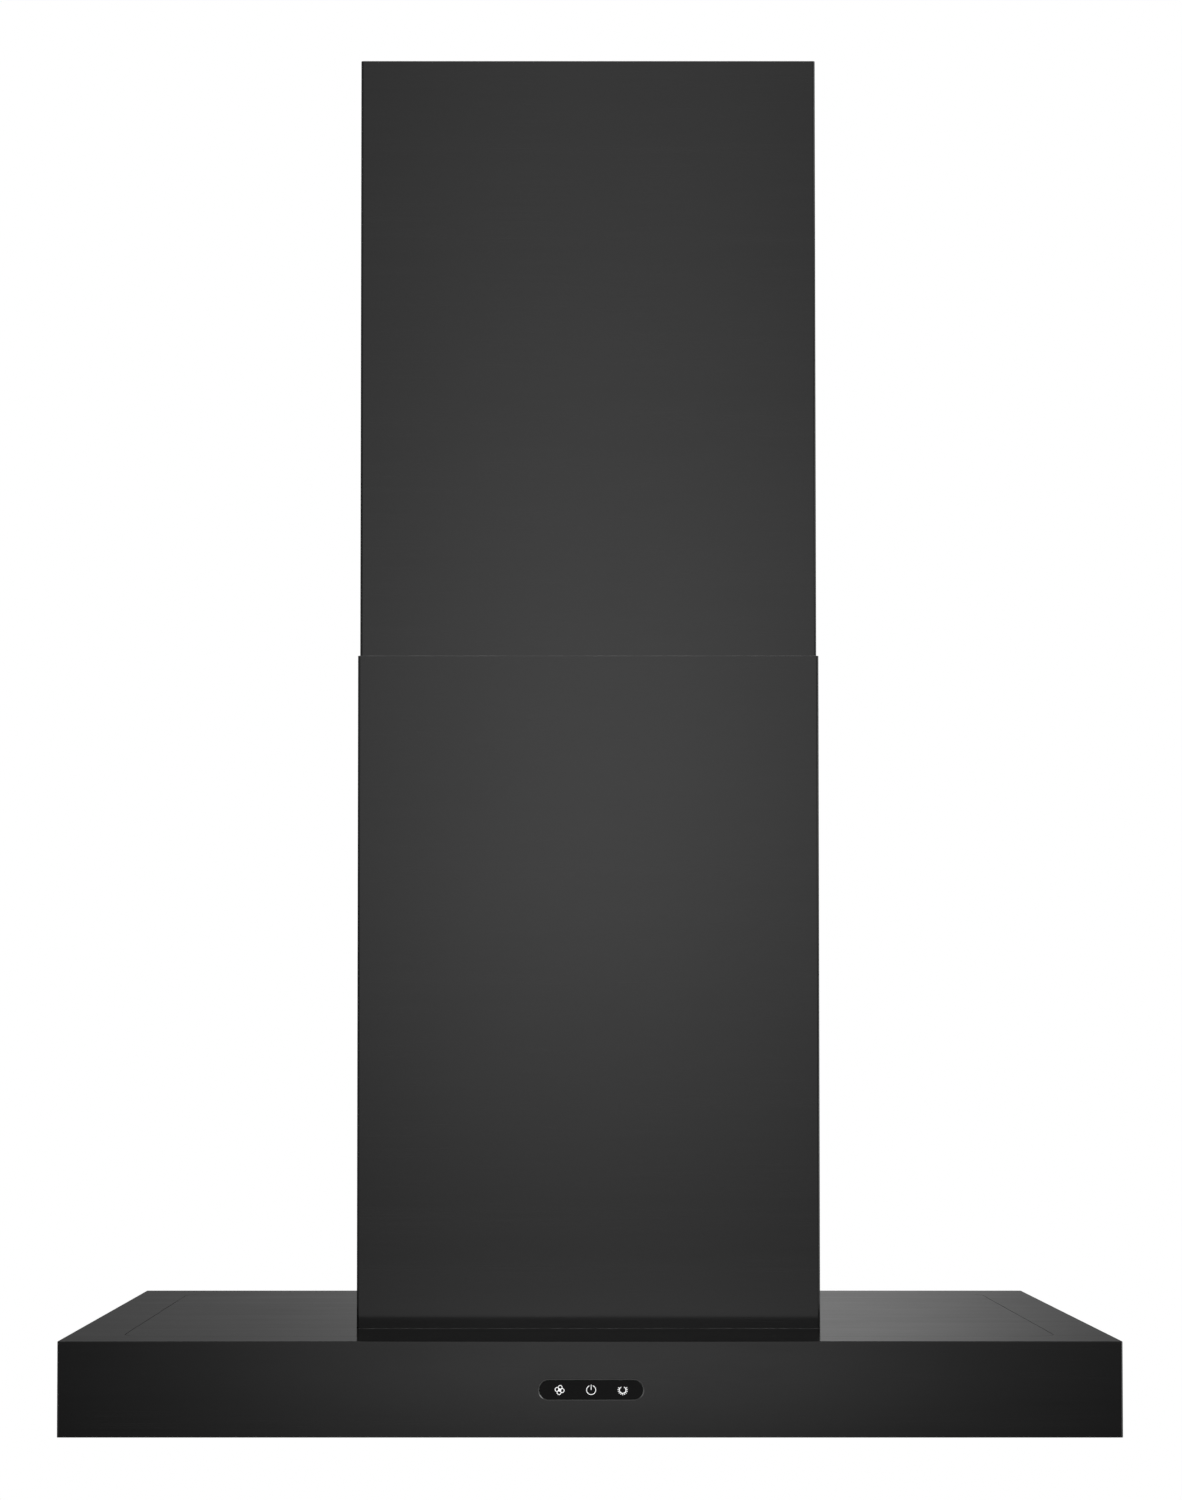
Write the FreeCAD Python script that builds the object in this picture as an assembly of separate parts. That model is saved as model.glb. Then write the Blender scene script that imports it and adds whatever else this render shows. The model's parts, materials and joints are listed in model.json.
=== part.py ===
import FreeCAD, Part
import math
import os

# Island range hood, millimetres, +Z up, +Y to the rear, front towards -Y.
# The origin is the centre of the ceiling plate's top face, so the hood hangs below z = 0.
# A ceiling plate carries four angle legs and a hanging upper flue. The canopy hangs from four inner
# legs that nest in those, bolted through long slots, and the lower flue stands on the canopy.

# ---- driving dimensions: the outside ----
canopy_width = 900.0
canopy_depth = 600.0
canopy_height = 81.0
lower_flue_length = 597.0
upper_flue_shown = 535.0
flue_overlap = 60.0
flue_width = 410.0
flue_depth = 342.0

# ---- sheet metal ----
canopy_sheet = 1.0
flue_sheet = 0.8
liner_sheet = 1.0
bracket_sheet = 2.0
leg_sheet = 1.5
sheet_below_seam = 1.0
flue_clearance = 1.0
seam_gap = 0.3
canopy_corner_radius = 2.0
canopy_edge_radius = 0.9
flue_corner_radius = 2.0
part_clearance = 0.3
strip_half_width = 12.0
lower_strip_sheet = 0.4
upper_strip_sheet = 0.8

# ---- canopy ----
border_width = 48.0
border_corner_radius = 22.0
border_gap = 0.6
seam_frame_half_width = 16.0
drip_edge_height = 8.0
hem_sheet = 1.0
return_flange_width = 14.0
intake_half_width = 125.0
intake_half_depth = 105.0
intake_corner_radius = 15.0
joint_play = 0.5

# ---- touch control ----
control_length = 87.5
control_height = 15.9
control_drop = 40.9
control_offset = 1.0
control_proud = 0.8
control_thickness = 4.0
control_rim_radius = 0.5
control_fit = 0.25
icon_proud = 0.12
icon_radius = 4.1
icon_line = 0.5
icon_pitch = 26.6
icon_hub_share = 0.3
icon_loop_share = 0.47
icon_loop_turn = 12
icon_lamp_share = 0.72
icon_power_opening = 1.5
icon_lamp_opening = 1.1
icon_ray_turns = range(60, 301, 24)
touch_board_length = 100.0
touch_board_height = 26.0
touch_board_thickness = 1.6
touch_chip_size = 8.0
touch_chip_thickness = 1.5
holder_wall = 2.0
holder_depth = 9.0

# ---- control box ----
control_box_length = 200.0
control_box_depth = 52.0
control_box_height = 44.0
control_box_wall = 2.0
control_box_lift = 3.0
control_box_from_holder = 4.0
board_thickness = 1.6
board_stand_off = 6.0
board_post_offset = 66.0
control_box_foot_inset = 13.0
# place along X, half length, half depth and height of each part on the mains board
mains_board_parts = ((-70, 16, 14, 20), (-30, 8, 7, 14), (-8, 8, 7, 14), (20, 5, 10, 8), (62, 22, 6, 10))

# ---- frame ----
frame_inset = 7.2
leg_width = 25.0
leg_nest_gap = 0.3
upper_leg_end = 720.0
lower_leg_start = 560.0
ceiling_flange_height = 30.0
duct_hole_radius = 82.0
ceiling_slot_spacing_x = 300.0
ceiling_slot_spacing_y = 250.0
ceiling_slot_length = 22.0
ceiling_slot_width = 7.0
crossbar_width = 20.0
frame_flange_height = 30.0
height_travel = 250.0
bolt_radius = 3.0
bolt_head_across = 10.0
bolt_head_height = 4.0
bolt_nut_height = 4.0
bolt_past_nut = 4.0
bolt_level_upper = 590.0
bolt_level_lower = 690.0
slot_play = 0.3
slot_end_margin = 7.0
screw_radius = 2.5
screw_head_radius = 4.5
screw_head_height = 2.4
screw_length = 8.0
screw_socket_across = 2.8
screw_socket_depth = 1.4
base_screw_gap_x = 18.0
base_screw_gap_y = 13.5
hole_play = 0.1
hanger_half_width = 30.0
hanger_height = 24.0
hanger_drop = 8.0
hanger_sheet = 1.5
hanger_screw_reach = 22.0

# ---- blower ----
blower_margin_x = 38.2
blower_margin_y = 14.2
blower_height = 216.0
blower_sheet = 1.0
blower_flange = 7.0
scroll_wall = 2.0
scroll_half_width = 58.0
scroll_first_radius = 76.0
scroll_step = 9.0
scroll_outlet_width = 90.0
scroll_inlet_radius = 54.0
scroll_lip = 1.6
scroll_flange = 8.0
wheel_radius = 70.0
wheel_inner_radius = 57.0
wheel_half_width = 50.0
wheel_ring = 1.5
scroll_roof_gap = 16.0
blade_count = 36
blade_thickness = 1.0
blade_lean = 35.0
hub_radius = 12.0
hub_half_length = 8.0
shaft_radius = 4.0
shaft_fit = 0.05
shaft_end = 2.0
motor_shaft_inset = 1.0
motor_radius = 40.0
motor_start = 10.0
motor_length = 50.0
motor_wall = 3.0
motor_end_wall = 6.5
bearing_radius = 11.0
bearing_width = 6.0
rotor_radius = 21.0
rotor_length = 26.0
rotor_gap = 0.5
bracket_arm_width = 14.0
bracket_arm_turns = (90, 210, 330)
bracket_reach = 68.0
bracket_inner_radius = 25.0
capacitor_radius = 17.0
capacitor_length = 60.0
capacitor_from_centre = 95.0
capacitor_level = 150.0
capacitor_stud_radius = 4.0
capacitor_stud_length = 10.0
capacitor_nut_across = 12.0
capacitor_nut_height = 4.0
capacitor_edge_radius = 2.0

# ---- duct collar and damper ----
collar_radius = 74.0
collar_wall = 1.0
collar_height = 50.0
collar_flange_radius = 88.0
collar_flange_thickness = 1.2
damper_level = 24.0
damper_pin_radius = 1.5
damper_pin_offset = 5.0
damper_sleeve_radius = 3.0
damper_thickness = 1.0
damper_edge_gap = 1.8
damper_sleeve_half_length = 68.0
stop_ring_width = 2.8
stop_ring_height = 1.5

# ---- filters ----
filter_count = 3
filter_bay_margin_x = 50.0
filter_bay_half_depth = 202.0
filter_end_gap = 2.0
filter_side_gap = 1.5
filter_height = 12.0
filter_sheet = 1.0
filter_lip = 8.0
filter_front_strip = 56.0
divider_width = 10.0
rail_sheet = 1.5
rail_height = 28.0
rail_foot = 12.0
end_rail_width = 10.0
hinge_pin_radius = 2.5
hinge_pin_inset = 5.0
hinge_pin_level = 5.5
hinge_slot_play = 0.3
baffle_sheet = 0.8
baffle_pitch = 34.0
baffle_lower_width = 26.0
baffle_upper_width = 20.0
baffle_flange = 5.0
latch_travel = 6.0
latch_half_width = 15.0
latch_thickness = 2.0
latch_engagement = 5.0
latch_length = 39.0
latch_tab_half_width = 10.0
latch_tab_thickness = 3.0
latch_tab_drop = 7.0
latch_tab_inset = 22.0
latch_seat_height = 6.0
latch_seat_half_width = 6.0
spring_radius = 2.4
spring_wire_radius = 0.35
spring_length = 14.0
spring_turns = 7

# ---- plenum ----
plenum_clearance = 1.0

# ---- lamps ----
lamp_offset_x = 300.0
lamp_edge_offset = 50.0
lamp_bezel_radius = 34.0
lamp_lens_radius = 27.0
lamp_body_radius = 29.0
lamp_bezel_height = 2.0
lamp_lens_height = 3.0
lamp_body_height = 20.0
lamp_fin_count = 6
lamp_fin_slot_half_width = 2.0
lamp_hole_play = 1.0

ORIGIN = FreeCAD.Vector(0, 0, 0)
X_AXIS = FreeCAD.Vector(1, 0, 0)
Y_AXIS = FreeCAD.Vector(0, 1, 0)
Z_AXIS = FreeCAD.Vector(0, 0, 1)
PAST = 1.0  # how far a cutting tool runs past the face that it opens
NEAR = 0.01  # how near to a place an edge must be to count as lying on it

# ---- levels, from the ceiling down ----
flue_step_level = -upper_flue_shown
canopy_top = -(upper_flue_shown + lower_flue_length)
canopy_bottom = canopy_top - canopy_height
liner_level = canopy_bottom + drip_edge_height
upper_flue_bottom = flue_step_level - flue_overlap
base_level = canopy_top + bracket_sheet
blower_top = base_level + blower_height

# ---- half sizes ----
canopy_half_x = canopy_width / 2
canopy_half_y = canopy_depth / 2
lower_flue_half_x = flue_width / 2
lower_flue_half_y = flue_depth / 2
flue_step = flue_sheet + flue_clearance
upper_flue_half_x = lower_flue_half_x - flue_step
upper_flue_half_y = lower_flue_half_y - flue_step
frame_half_x = upper_flue_half_x - frame_inset
frame_half_y = upper_flue_half_y - frame_inset
upper_leg_x = frame_half_x - bracket_sheet
upper_leg_y = frame_half_y - bracket_sheet
lower_leg_x = upper_leg_x - leg_sheet - leg_nest_gap
lower_leg_y = upper_leg_y - leg_sheet - leg_nest_gap
leg_bolt_y = upper_leg_y - leg_width / 2
blower_half_x = frame_half_x - blower_margin_x
blower_half_y = frame_half_y - blower_margin_y
opening_half_x = canopy_half_x - border_width
opening_half_y = canopy_half_y - border_width

# ---- blower layout ----
scroll_second_radius = scroll_first_radius + scroll_step
scroll_third_radius = scroll_second_radius + scroll_step
scroll_right = scroll_step + scroll_third_radius
wheel_y = scroll_outlet_width / 2 - scroll_right
wheel_z = blower_top - blower_sheet - scroll_third_radius - scroll_roof_gap
rotor_start = motor_start + (motor_length - rotor_length) / 2
motor_end = motor_start + motor_length
collar_base = blower_top
damper_axis_z = collar_base + damper_level

# ---- filter layout ----
bay_half_x = canopy_half_x - filter_bay_margin_x
rail_inner_x = bay_half_x - rail_sheet
filter_width = (
    2 * rail_inner_x - (filter_count - 1) * divider_width - 2 * filter_count * filter_side_gap
) / filter_count
filter_pitch = filter_width + 2 * filter_side_gap + divider_width
filter_half_y = filter_bay_half_depth - filter_end_gap
filter_level = liner_level
hinge_y = filter_half_y - hinge_pin_inset
hinge_z = filter_level + hinge_pin_level
filter_centres = [(index - (filter_count - 1) / 2) * filter_pitch for index in range(filter_count)]
divider_centres = [(index - filter_count / 2) * filter_pitch for index in range(1, filter_count)]
latch_level = liner_level + liner_sheet + rail_sheet + part_clearance
latch_front = -filter_half_y - filter_end_gap - latch_engagement
latch_rear = latch_front + latch_length
plenum_half_x = bay_half_x + rail_foot + plenum_clearance
plenum_half_y = filter_bay_half_depth + end_rail_width + plenum_clearance

# ---- touch control layout ----
control_z = canopy_top - control_drop
control_face = -canopy_half_y - control_proud
inner_front = -canopy_half_y + canopy_sheet
board_front = control_face + control_thickness
control_box_front = inner_front + holder_depth + control_box_from_holder
control_box_floor = liner_level + liner_sheet + control_box_lift


def block(x_low, x_high, y_low, y_high, z_low, z_high):
    """A box between two corners."""
    corner = FreeCAD.Vector(x_low, y_low, z_low)
    return Part.makeBox(x_high - x_low, y_high - y_low, z_high - z_low, corner)


def centred_block(half_x, half_y, z_low, z_high, centre_x=0.0, centre_y=0.0):
    """A box centred on an upright line."""
    return block(centre_x - half_x, centre_x + half_x, centre_y - half_y, centre_y + half_y, z_low, z_high)


def round_block(half_x, half_y, z_low, z_high, radius):
    """A centred box with its four upright edges rounded."""
    solid = centred_block(half_x, half_y, z_low, z_high)
    upright = [edge for edge in solid.Edges if edge.BoundBox.ZLength > NEAR]
    return solid.makeFillet(radius, upright)


def rod(radius, x, y, z, axis, length):
    """A cylinder from a start point along an axis."""
    return Part.makeCylinder(radius, length, FreeCAD.Vector(x, y, z), axis)


def hexagon(across, x, y, z, axis, length):
    """A six-sided bar, as wide as given from flat to flat, from a start point along an axis."""
    corner_radius = across / math.sqrt(3)
    points = []
    for step in range(7):
        angle = math.radians(60 * step)
        points.append(FreeCAD.Vector(corner_radius * math.cos(angle), corner_radius * math.sin(angle), 0))
    bar = Part.Face(Part.makePolygon(points)).extrude(FreeCAD.Vector(0, 0, length))
    bar.Placement = FreeCAD.Placement(FreeCAD.Vector(x, y, z), FreeCAD.Rotation(Z_AXIS, axis))
    return bar


def capsule(length, height, z_centre, y_low, y_high, x_centre=0.0):
    """An upright capsule plate facing along Y: a bar with half-round ends."""
    radius = height / 2
    reach = length / 2 - radius
    depth = y_high - y_low
    bar = block(x_centre - reach, x_centre + reach, y_low, y_high, z_centre - radius, z_centre + radius)
    ends = [rod(radius, x_centre + side * reach, y_low, z_centre, Y_AXIS, depth) for side in (-1, 1)]
    return bar.multiFuse(ends).removeSplitter()


def slot(length, width, x, y, z_low, z_high):
    """A slot tool along X with round ends, to cut a plate from below to above."""
    reach = length / 2 - width / 2
    depth = z_high - z_low
    bar = block(x - reach, x + reach, y - width / 2, y + width / 2, z_low, z_high)
    ends = [rod(width / 2, x + side * reach, y, z_low, Z_AXIS, depth) for side in (-1, 1)]
    return bar.multiFuse(ends)


def screw(x, y, z, axis, length=screw_length):
    """A pan-head screw with a hexagonal socket. The head's seat is at the point given, and the shank
    runs from it along the axis."""
    crown = FreeCAD.Vector(x, y, z) - axis * screw_head_height
    head = rod(screw_head_radius, crown.x, crown.y, crown.z, axis, screw_head_height)
    rims = [edge for edge in head.Edges if edge.Closed and edge.CenterOfMass.sub(crown).Length < NEAR]
    head = head.makeFillet(screw_head_height / 2, rims)
    socket = hexagon(screw_socket_across, crown.x, crown.y, crown.z, axis, screw_socket_depth)
    return head.fuse(rod(screw_radius, x, y, z, axis, length)).cut(socket).removeSplitter()


def both_sides(shape, normal=X_AXIS):
    """A shape and its mirror image across the middle plane."""
    return [shape, shape.mirror(ORIGIN, normal)]


def four_corners(shape):
    """A shape at one corner, repeated by mirroring at all four."""
    return [copy for half in both_sides(shape) for copy in both_sides(half, Y_AXIS)]


def quarter_places(half_x, half_y):
    """Four places, one in each quarter of the plan."""
    return [(side * half_x, end * half_y) for side in (-1, 1) for end in (-1, 1)]


def group(shapes):
    """Separate solids kept in one sub-part."""
    return Part.makeCompound(shapes)


# ---- ceiling frame ----


def make_ceiling_plate():
    """A tray with its walls turned down, a duct hole and four slots for the ceiling bolts."""
    tray = centred_block(frame_half_x, frame_half_y, -ceiling_flange_height, 0)
    inner_x = frame_half_x - bracket_sheet
    inner_y = frame_half_y - bracket_sheet
    hollow = centred_block(inner_x, inner_y, -ceiling_flange_height - PAST, -bracket_sheet)
    tools = [hollow, rod(duct_hole_radius, 0, 0, -bracket_sheet - PAST, Z_AXIS, bracket_sheet + 2 * PAST)]
    for x, y in quarter_places(ceiling_slot_spacing_x / 2, ceiling_slot_spacing_y / 2):
        tools.append(slot(ceiling_slot_length, ceiling_slot_width, x, y, -bracket_sheet - PAST, PAST))
    tools += leg_screw_holes(-ceiling_flange_height / 2)
    return tray.cut(tools)


def leg_screw_holes(level):
    """Holes along X through both side walls and the legs' ends, one at each corner."""
    reach = frame_half_x + PAST
    radius = screw_radius + hole_play
    return [rod(radius, -reach, side * leg_bolt_y, level, X_AXIS, 2 * reach) for side in (-1, 1)]


def angle_leg(corner_x, corner_y, z_low, z_high):
    """An upright angle section with its outer corner at a place and its arms pointing inwards."""
    bar = block(corner_x - leg_width, corner_x, corner_y - leg_width, corner_y, z_low, z_high)
    inner_x = corner_x - leg_sheet
    inner_y = corner_y - leg_sheet
    far_x = corner_x - leg_width - PAST
    far_y = corner_y - leg_width - PAST
    return bar.cut(block(far_x, inner_x, far_y, inner_y, z_low - PAST, z_high + PAST))


def make_upper_legs():
    """Four angle legs under the ceiling plate, each with a long slot for its two clamp bolts."""
    leg = angle_leg(upper_leg_x, upper_leg_y, -upper_leg_end, -bracket_sheet)
    half_width = bolt_radius + slot_play
    slot_low = -bolt_level_lower - slot_end_margin
    slot_high = -bolt_level_upper + height_travel + slot_end_margin
    window = block(
        upper_leg_x - leg_sheet - PAST, upper_leg_x + PAST,
        leg_bolt_y - half_width, leg_bolt_y + half_width, slot_low, slot_high,
    )
    hole = rod(
        screw_radius + hole_play, upper_leg_x - leg_sheet - PAST, leg_bolt_y, -ceiling_flange_height / 2,
        X_AXIS, leg_sheet + 2 * PAST,
    )
    return group(four_corners(leg.cut([window, hole])))


def make_upper_crossbars():
    """Flat bars that tie the upper legs together in front and behind, at the legs' lower ends."""
    low = -upper_leg_end + 2 * crossbar_width
    high = low + crossbar_width
    bar = block(-upper_leg_x, upper_leg_x, upper_leg_y, upper_leg_y + bracket_sheet, low, high)
    return group(both_sides(bar, Y_AXIS))


def make_flue_hangers():
    """Channel brackets that join the ceiling plate's side walls to the upper flue."""
    inner = frame_half_x
    outer = upper_flue_half_x - flue_sheet
    low = -hanger_drop - hanger_height
    body = block(inner, outer, -hanger_half_width, hanger_half_width, low, -hanger_drop)
    hollow = block(
        inner + hanger_sheet, outer - hanger_sheet, -hanger_half_width - PAST, hanger_half_width + PAST,
        low - PAST, -hanger_drop - hanger_sheet,
    )
    holes = [hanger_screw_hole(side) for side in (-1, 1)]
    return group(both_sides(body.cut([hollow] + holes)))


def hanger_screw_hole(side):
    """A hole through the upper flue's side wall and the hanger behind it, in front or behind."""
    start = upper_flue_half_x - flue_sheet - hanger_sheet - PAST
    length = flue_sheet + hanger_sheet + 2 * PAST
    level = -hanger_drop - hanger_height / 2
    return rod(screw_radius + hole_play, start, side * hanger_screw_reach, level, X_AXIS, length)


def make_ceiling_frame_screws():
    """Screws that hold the upper legs and the upper flue to the ceiling plate."""
    leg_screw = screw(frame_half_x, leg_bolt_y, -ceiling_flange_height / 2, -X_AXIS)
    level = -hanger_drop - hanger_height / 2
    grip = hanger_sheet + flue_sheet
    hanger_screw = screw(upper_flue_half_x, hanger_screw_reach, level, -X_AXIS, grip)
    return group(four_corners(leg_screw) + four_corners(hanger_screw))


# ---- flues ----


def flue_half(half_x, half_y, z_low, z_high, end):
    """Half of a rounded square tube, front (end -1) or rear (end 1), split across the side walls."""
    outside = round_block(half_x, half_y, z_low, z_high, flue_corner_radius)
    inner_x = half_x - flue_sheet
    inner_y = half_y - flue_sheet
    inside = round_block(inner_x, inner_y, z_low - PAST, z_high + PAST, flue_corner_radius - flue_sheet)
    tube = outside.cut(inside)
    reach = half_y + PAST
    y_low, y_high = sorted((end * seam_gap / 2, end * reach))
    return tube.common(block(-half_x - PAST, half_x + PAST, y_low, y_high, z_low, z_high))


def make_upper_flue(end):
    """A front or rear half of the flue that hangs from the ceiling."""
    holes = [hole for side in (-1, 1) for hole in both_sides(hanger_screw_hole(side))]
    return flue_half(upper_flue_half_x, upper_flue_half_y, upper_flue_bottom, 0, end).cut(holes)


def make_lower_flue(end):
    """A front or rear half of the flue that stands on the canopy."""
    return flue_half(lower_flue_half_x, lower_flue_half_y, canopy_top, flue_step_level, end)


def seam_strips(half_x, sheet, z_low, z_high):
    """Strips inside the two side seams, which join the flue's halves."""
    outer = half_x - flue_sheet
    strip = block(outer - sheet, outer, -strip_half_width, strip_half_width, z_low, z_high)
    return group(both_sides(strip))


def make_upper_flue_strips():
    """The upper flue's seam strips, which end below the hangers."""
    high = -hanger_drop - hanger_height - bracket_sheet
    return seam_strips(upper_flue_half_x, upper_strip_sheet, upper_flue_bottom + bracket_sheet, high)


def make_lower_flue_strips():
    """The lower flue's seam strips, which start above the base plate."""
    low = base_level + bracket_sheet
    return seam_strips(lower_flue_half_x, lower_strip_sheet, low, flue_step_level - bracket_sheet)


# ---- canopy ----

# the screws that hold the liner pan on the hem's flange
flange_middle = canopy_sheet + return_flange_width / 2
pan_screw_places = quarter_places(canopy_half_x - flange_middle, canopy_half_y / 2)
pan_screw_places += quarter_places(canopy_half_x / 2, canopy_half_y - flange_middle)

# the screws that hold the frame's base to the canopy's top plate
base_screw_places = quarter_places(intake_half_width + base_screw_gap_x, intake_half_depth / 2)
base_screw_places += quarter_places(lower_flue_half_x / 2, intake_half_depth + base_screw_gap_y)

lamp_places = quarter_places(lamp_offset_x, canopy_half_y - lamp_edge_offset)


def make_canopy_shell():
    """Four outer walls, a top border and a bottom hem that turns inwards, folded from one sheet."""
    outside = round_block(canopy_half_x, canopy_half_y, canopy_bottom, canopy_top, canopy_corner_radius)
    top_edges = [edge for edge in outside.Edges if abs(edge.BoundBox.ZMin - canopy_top) < NEAR]
    outside = outside.makeFillet(canopy_edge_radius, top_edges)
    inner_x = canopy_half_x - canopy_sheet
    inner_y = canopy_half_y - canopy_sheet
    inner_radius = canopy_corner_radius - canopy_sheet
    inside = round_block(inner_x, inner_y, canopy_bottom - PAST, canopy_top - canopy_sheet, inner_radius)
    hem = round_block(inner_x, inner_y, canopy_bottom, liner_level, inner_radius)
    below = canopy_bottom - PAST
    hem_inside = centred_block(inner_x - hem_sheet, inner_y - hem_sheet, below, liner_level - hem_sheet)
    flange_x = inner_x - return_flange_width
    flange_y = inner_y - return_flange_width
    flange_inside = centred_block(flange_x, flange_y, below, liner_level + PAST)
    body = outside.cut(inside).fuse(hem.cut([hem_inside, flange_inside]))
    low = canopy_top - canopy_sheet - PAST
    top_opening = round_block(opening_half_x, opening_half_y, low, canopy_top + PAST, border_corner_radius)
    control_opening = capsule(
        control_length + 2 * control_fit, control_height + 2 * control_fit, control_z,
        -canopy_half_y - PAST, inner_front + PAST, control_offset,
    )
    holes = [
        rod(screw_radius + hole_play, x, y, liner_level - hem_sheet - PAST, Z_AXIS, hem_sheet + 2 * PAST)
        for x, y in pan_screw_places
    ]
    return body.cut([top_opening, control_opening] + holes).removeSplitter()


def make_canopy_seam_frame():
    """A flat ring under the seam, which holds the top plate flush with the border."""
    high = canopy_top - canopy_sheet
    low = high - sheet_below_seam
    wide = seam_frame_half_width
    outer_radius = border_corner_radius + wide
    outside = round_block(opening_half_x + wide, opening_half_y + wide, low, high, outer_radius)
    inner_x = opening_half_x - wide
    inner_y = opening_half_y - wide
    inside = round_block(inner_x, inner_y, low - PAST, high + PAST, border_corner_radius - wide)
    return outside.cut(inside)


def plate_tools(z_low, z_high):
    """The blower's intake and the base screws' holes, cut through the plates between two levels."""
    low = z_low - PAST
    high = z_high + PAST
    tools = [round_block(intake_half_width, intake_half_depth, low, high, intake_corner_radius)]
    for x, y in base_screw_places:
        tools.append(rod(screw_radius + hole_play, x, y, low, Z_AXIS, high - low))
    return tools


def make_canopy_top_plate():
    """The flush plate in the middle of the canopy's top, with a hairline gap around it."""
    low = canopy_top - canopy_sheet
    radius = border_corner_radius - border_gap
    plate = round_block(opening_half_x - border_gap, opening_half_y - border_gap, low, canopy_top, radius)
    return plate.cut(plate_tools(low, canopy_top))


def make_liner_pan():
    """The flat plate inside the canopy's bottom, with the filter bay and four lamp holes."""
    low = liner_level
    high = low + liner_sheet
    half_x = canopy_half_x - canopy_sheet - joint_play
    half_y = canopy_half_y - canopy_sheet - joint_play
    pan = centred_block(half_x, half_y, low, high)
    tools = [centred_block(bay_half_x, filter_bay_half_depth, low - PAST, high + PAST)]
    for x, y in lamp_places:
        radius = lamp_body_radius + lamp_hole_play
        tools.append(rod(radius, x, y, low - PAST, Z_AXIS, liner_sheet + 2 * PAST))
    for x, y in pan_screw_places:
        tools.append(rod(screw_radius, x, y, low - PAST, Z_AXIS, liner_sheet + 2 * PAST))
    return pan.cut(tools)


def make_plenum_walls():
    """A sheet ring that leads the air from the filters to the blower's intake."""
    low = liner_level + liner_sheet
    high = canopy_top - canopy_sheet - sheet_below_seam
    outer = centred_block(plenum_half_x + liner_sheet, plenum_half_y + liner_sheet, low, high)
    return outer.cut(centred_block(plenum_half_x, plenum_half_y, low - PAST, high + PAST))


def make_canopy_screws():
    """Screws of the liner pan, and screws that join the frame's base to the canopy."""
    pan = [
        screw(x, y, liner_level - hem_sheet, Z_AXIS, hem_sheet + liner_sheet + joint_play)
        for x, y in pan_screw_places
    ]
    base = [
        screw(x, y, base_level, -Z_AXIS, bracket_sheet + canopy_sheet + joint_play)
        for x, y in base_screw_places
    ]
    return group(pan + base)


# ---- frame on the canopy ----


def make_base_frame():
    """A plate that stiffens the canopy's top, with an upright wall around the legs' feet. Its outer
    edge locates the lower flue."""
    plate_x = lower_flue_half_x - flue_sheet - part_clearance
    plate_y = lower_flue_half_y - flue_sheet - part_clearance
    plate = round_block(plate_x, plate_y, canopy_top, base_level, flue_corner_radius)
    wall_high = base_level + frame_flange_height
    wall = centred_block(lower_leg_x + bracket_sheet, lower_leg_y + bracket_sheet, canopy_top, wall_high)
    wall = wall.cut(centred_block(lower_leg_x, lower_leg_y, canopy_top - PAST, wall_high + PAST))
    holes = leg_screw_holes(base_level + frame_flange_height / 2)
    return plate.fuse(wall).cut(plate_tools(canopy_top, base_level) + holes).removeSplitter()


def make_lower_legs():
    """Four angle legs on the canopy, nested inside the upper legs and bolted through them."""
    leg = angle_leg(lower_leg_x, lower_leg_y, base_level, -lower_leg_start)
    start = lower_leg_x - leg_sheet - PAST
    length = leg_sheet + 2 * PAST
    holes = [
        rod(bolt_radius + hole_play, start, leg_bolt_y, -level, X_AXIS, length)
        for level in (bolt_level_upper, bolt_level_lower)
    ]
    foot_level = base_level + frame_flange_height / 2
    holes.append(rod(screw_radius + hole_play, start, leg_bolt_y, foot_level, X_AXIS, length))
    return group(four_corners(leg.cut(holes)))


def make_lower_crossbars():
    """Flat bars that tie the lower legs' upper ends together in front and behind."""
    outer = lower_leg_y - leg_sheet
    high = -lower_leg_start - crossbar_width / 2
    reach = lower_leg_x - leg_sheet
    bar = block(-reach, reach, outer - bracket_sheet, outer, high - crossbar_width, high)
    return group(both_sides(bar, Y_AXIS))


def make_frame_bolts():
    """Clamp bolts and nuts, two at each corner. They sit in the lower legs' holes and move up the
    upper legs' slots."""
    pieces = []
    head_seat = upper_leg_x + part_clearance
    nut_start = lower_leg_x - leg_sheet - bolt_nut_height
    shank_start = nut_start - bolt_past_nut
    y = leg_bolt_y
    bore_length = bolt_nut_height + 2 * PAST
    for z in (-bolt_level_upper, -bolt_level_lower):
        head = hexagon(bolt_head_across, head_seat, y, z, X_AXIS, bolt_head_height)
        shank = rod(bolt_radius, shank_start, y, z, X_AXIS, head_seat - shank_start)
        nut = hexagon(bolt_head_across, nut_start, y, z, X_AXIS, bolt_nut_height)
        nut = nut.cut(rod(bolt_radius + shaft_fit, nut_start - PAST, y, z, X_AXIS, bore_length))
        pieces += four_corners(head.fuse(shank)) + four_corners(nut)
    foot = screw(lower_leg_x + bracket_sheet, leg_bolt_y, base_level + frame_flange_height / 2, -X_AXIS)
    return group(pieces + four_corners(foot))


# ---- blower ----


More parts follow.
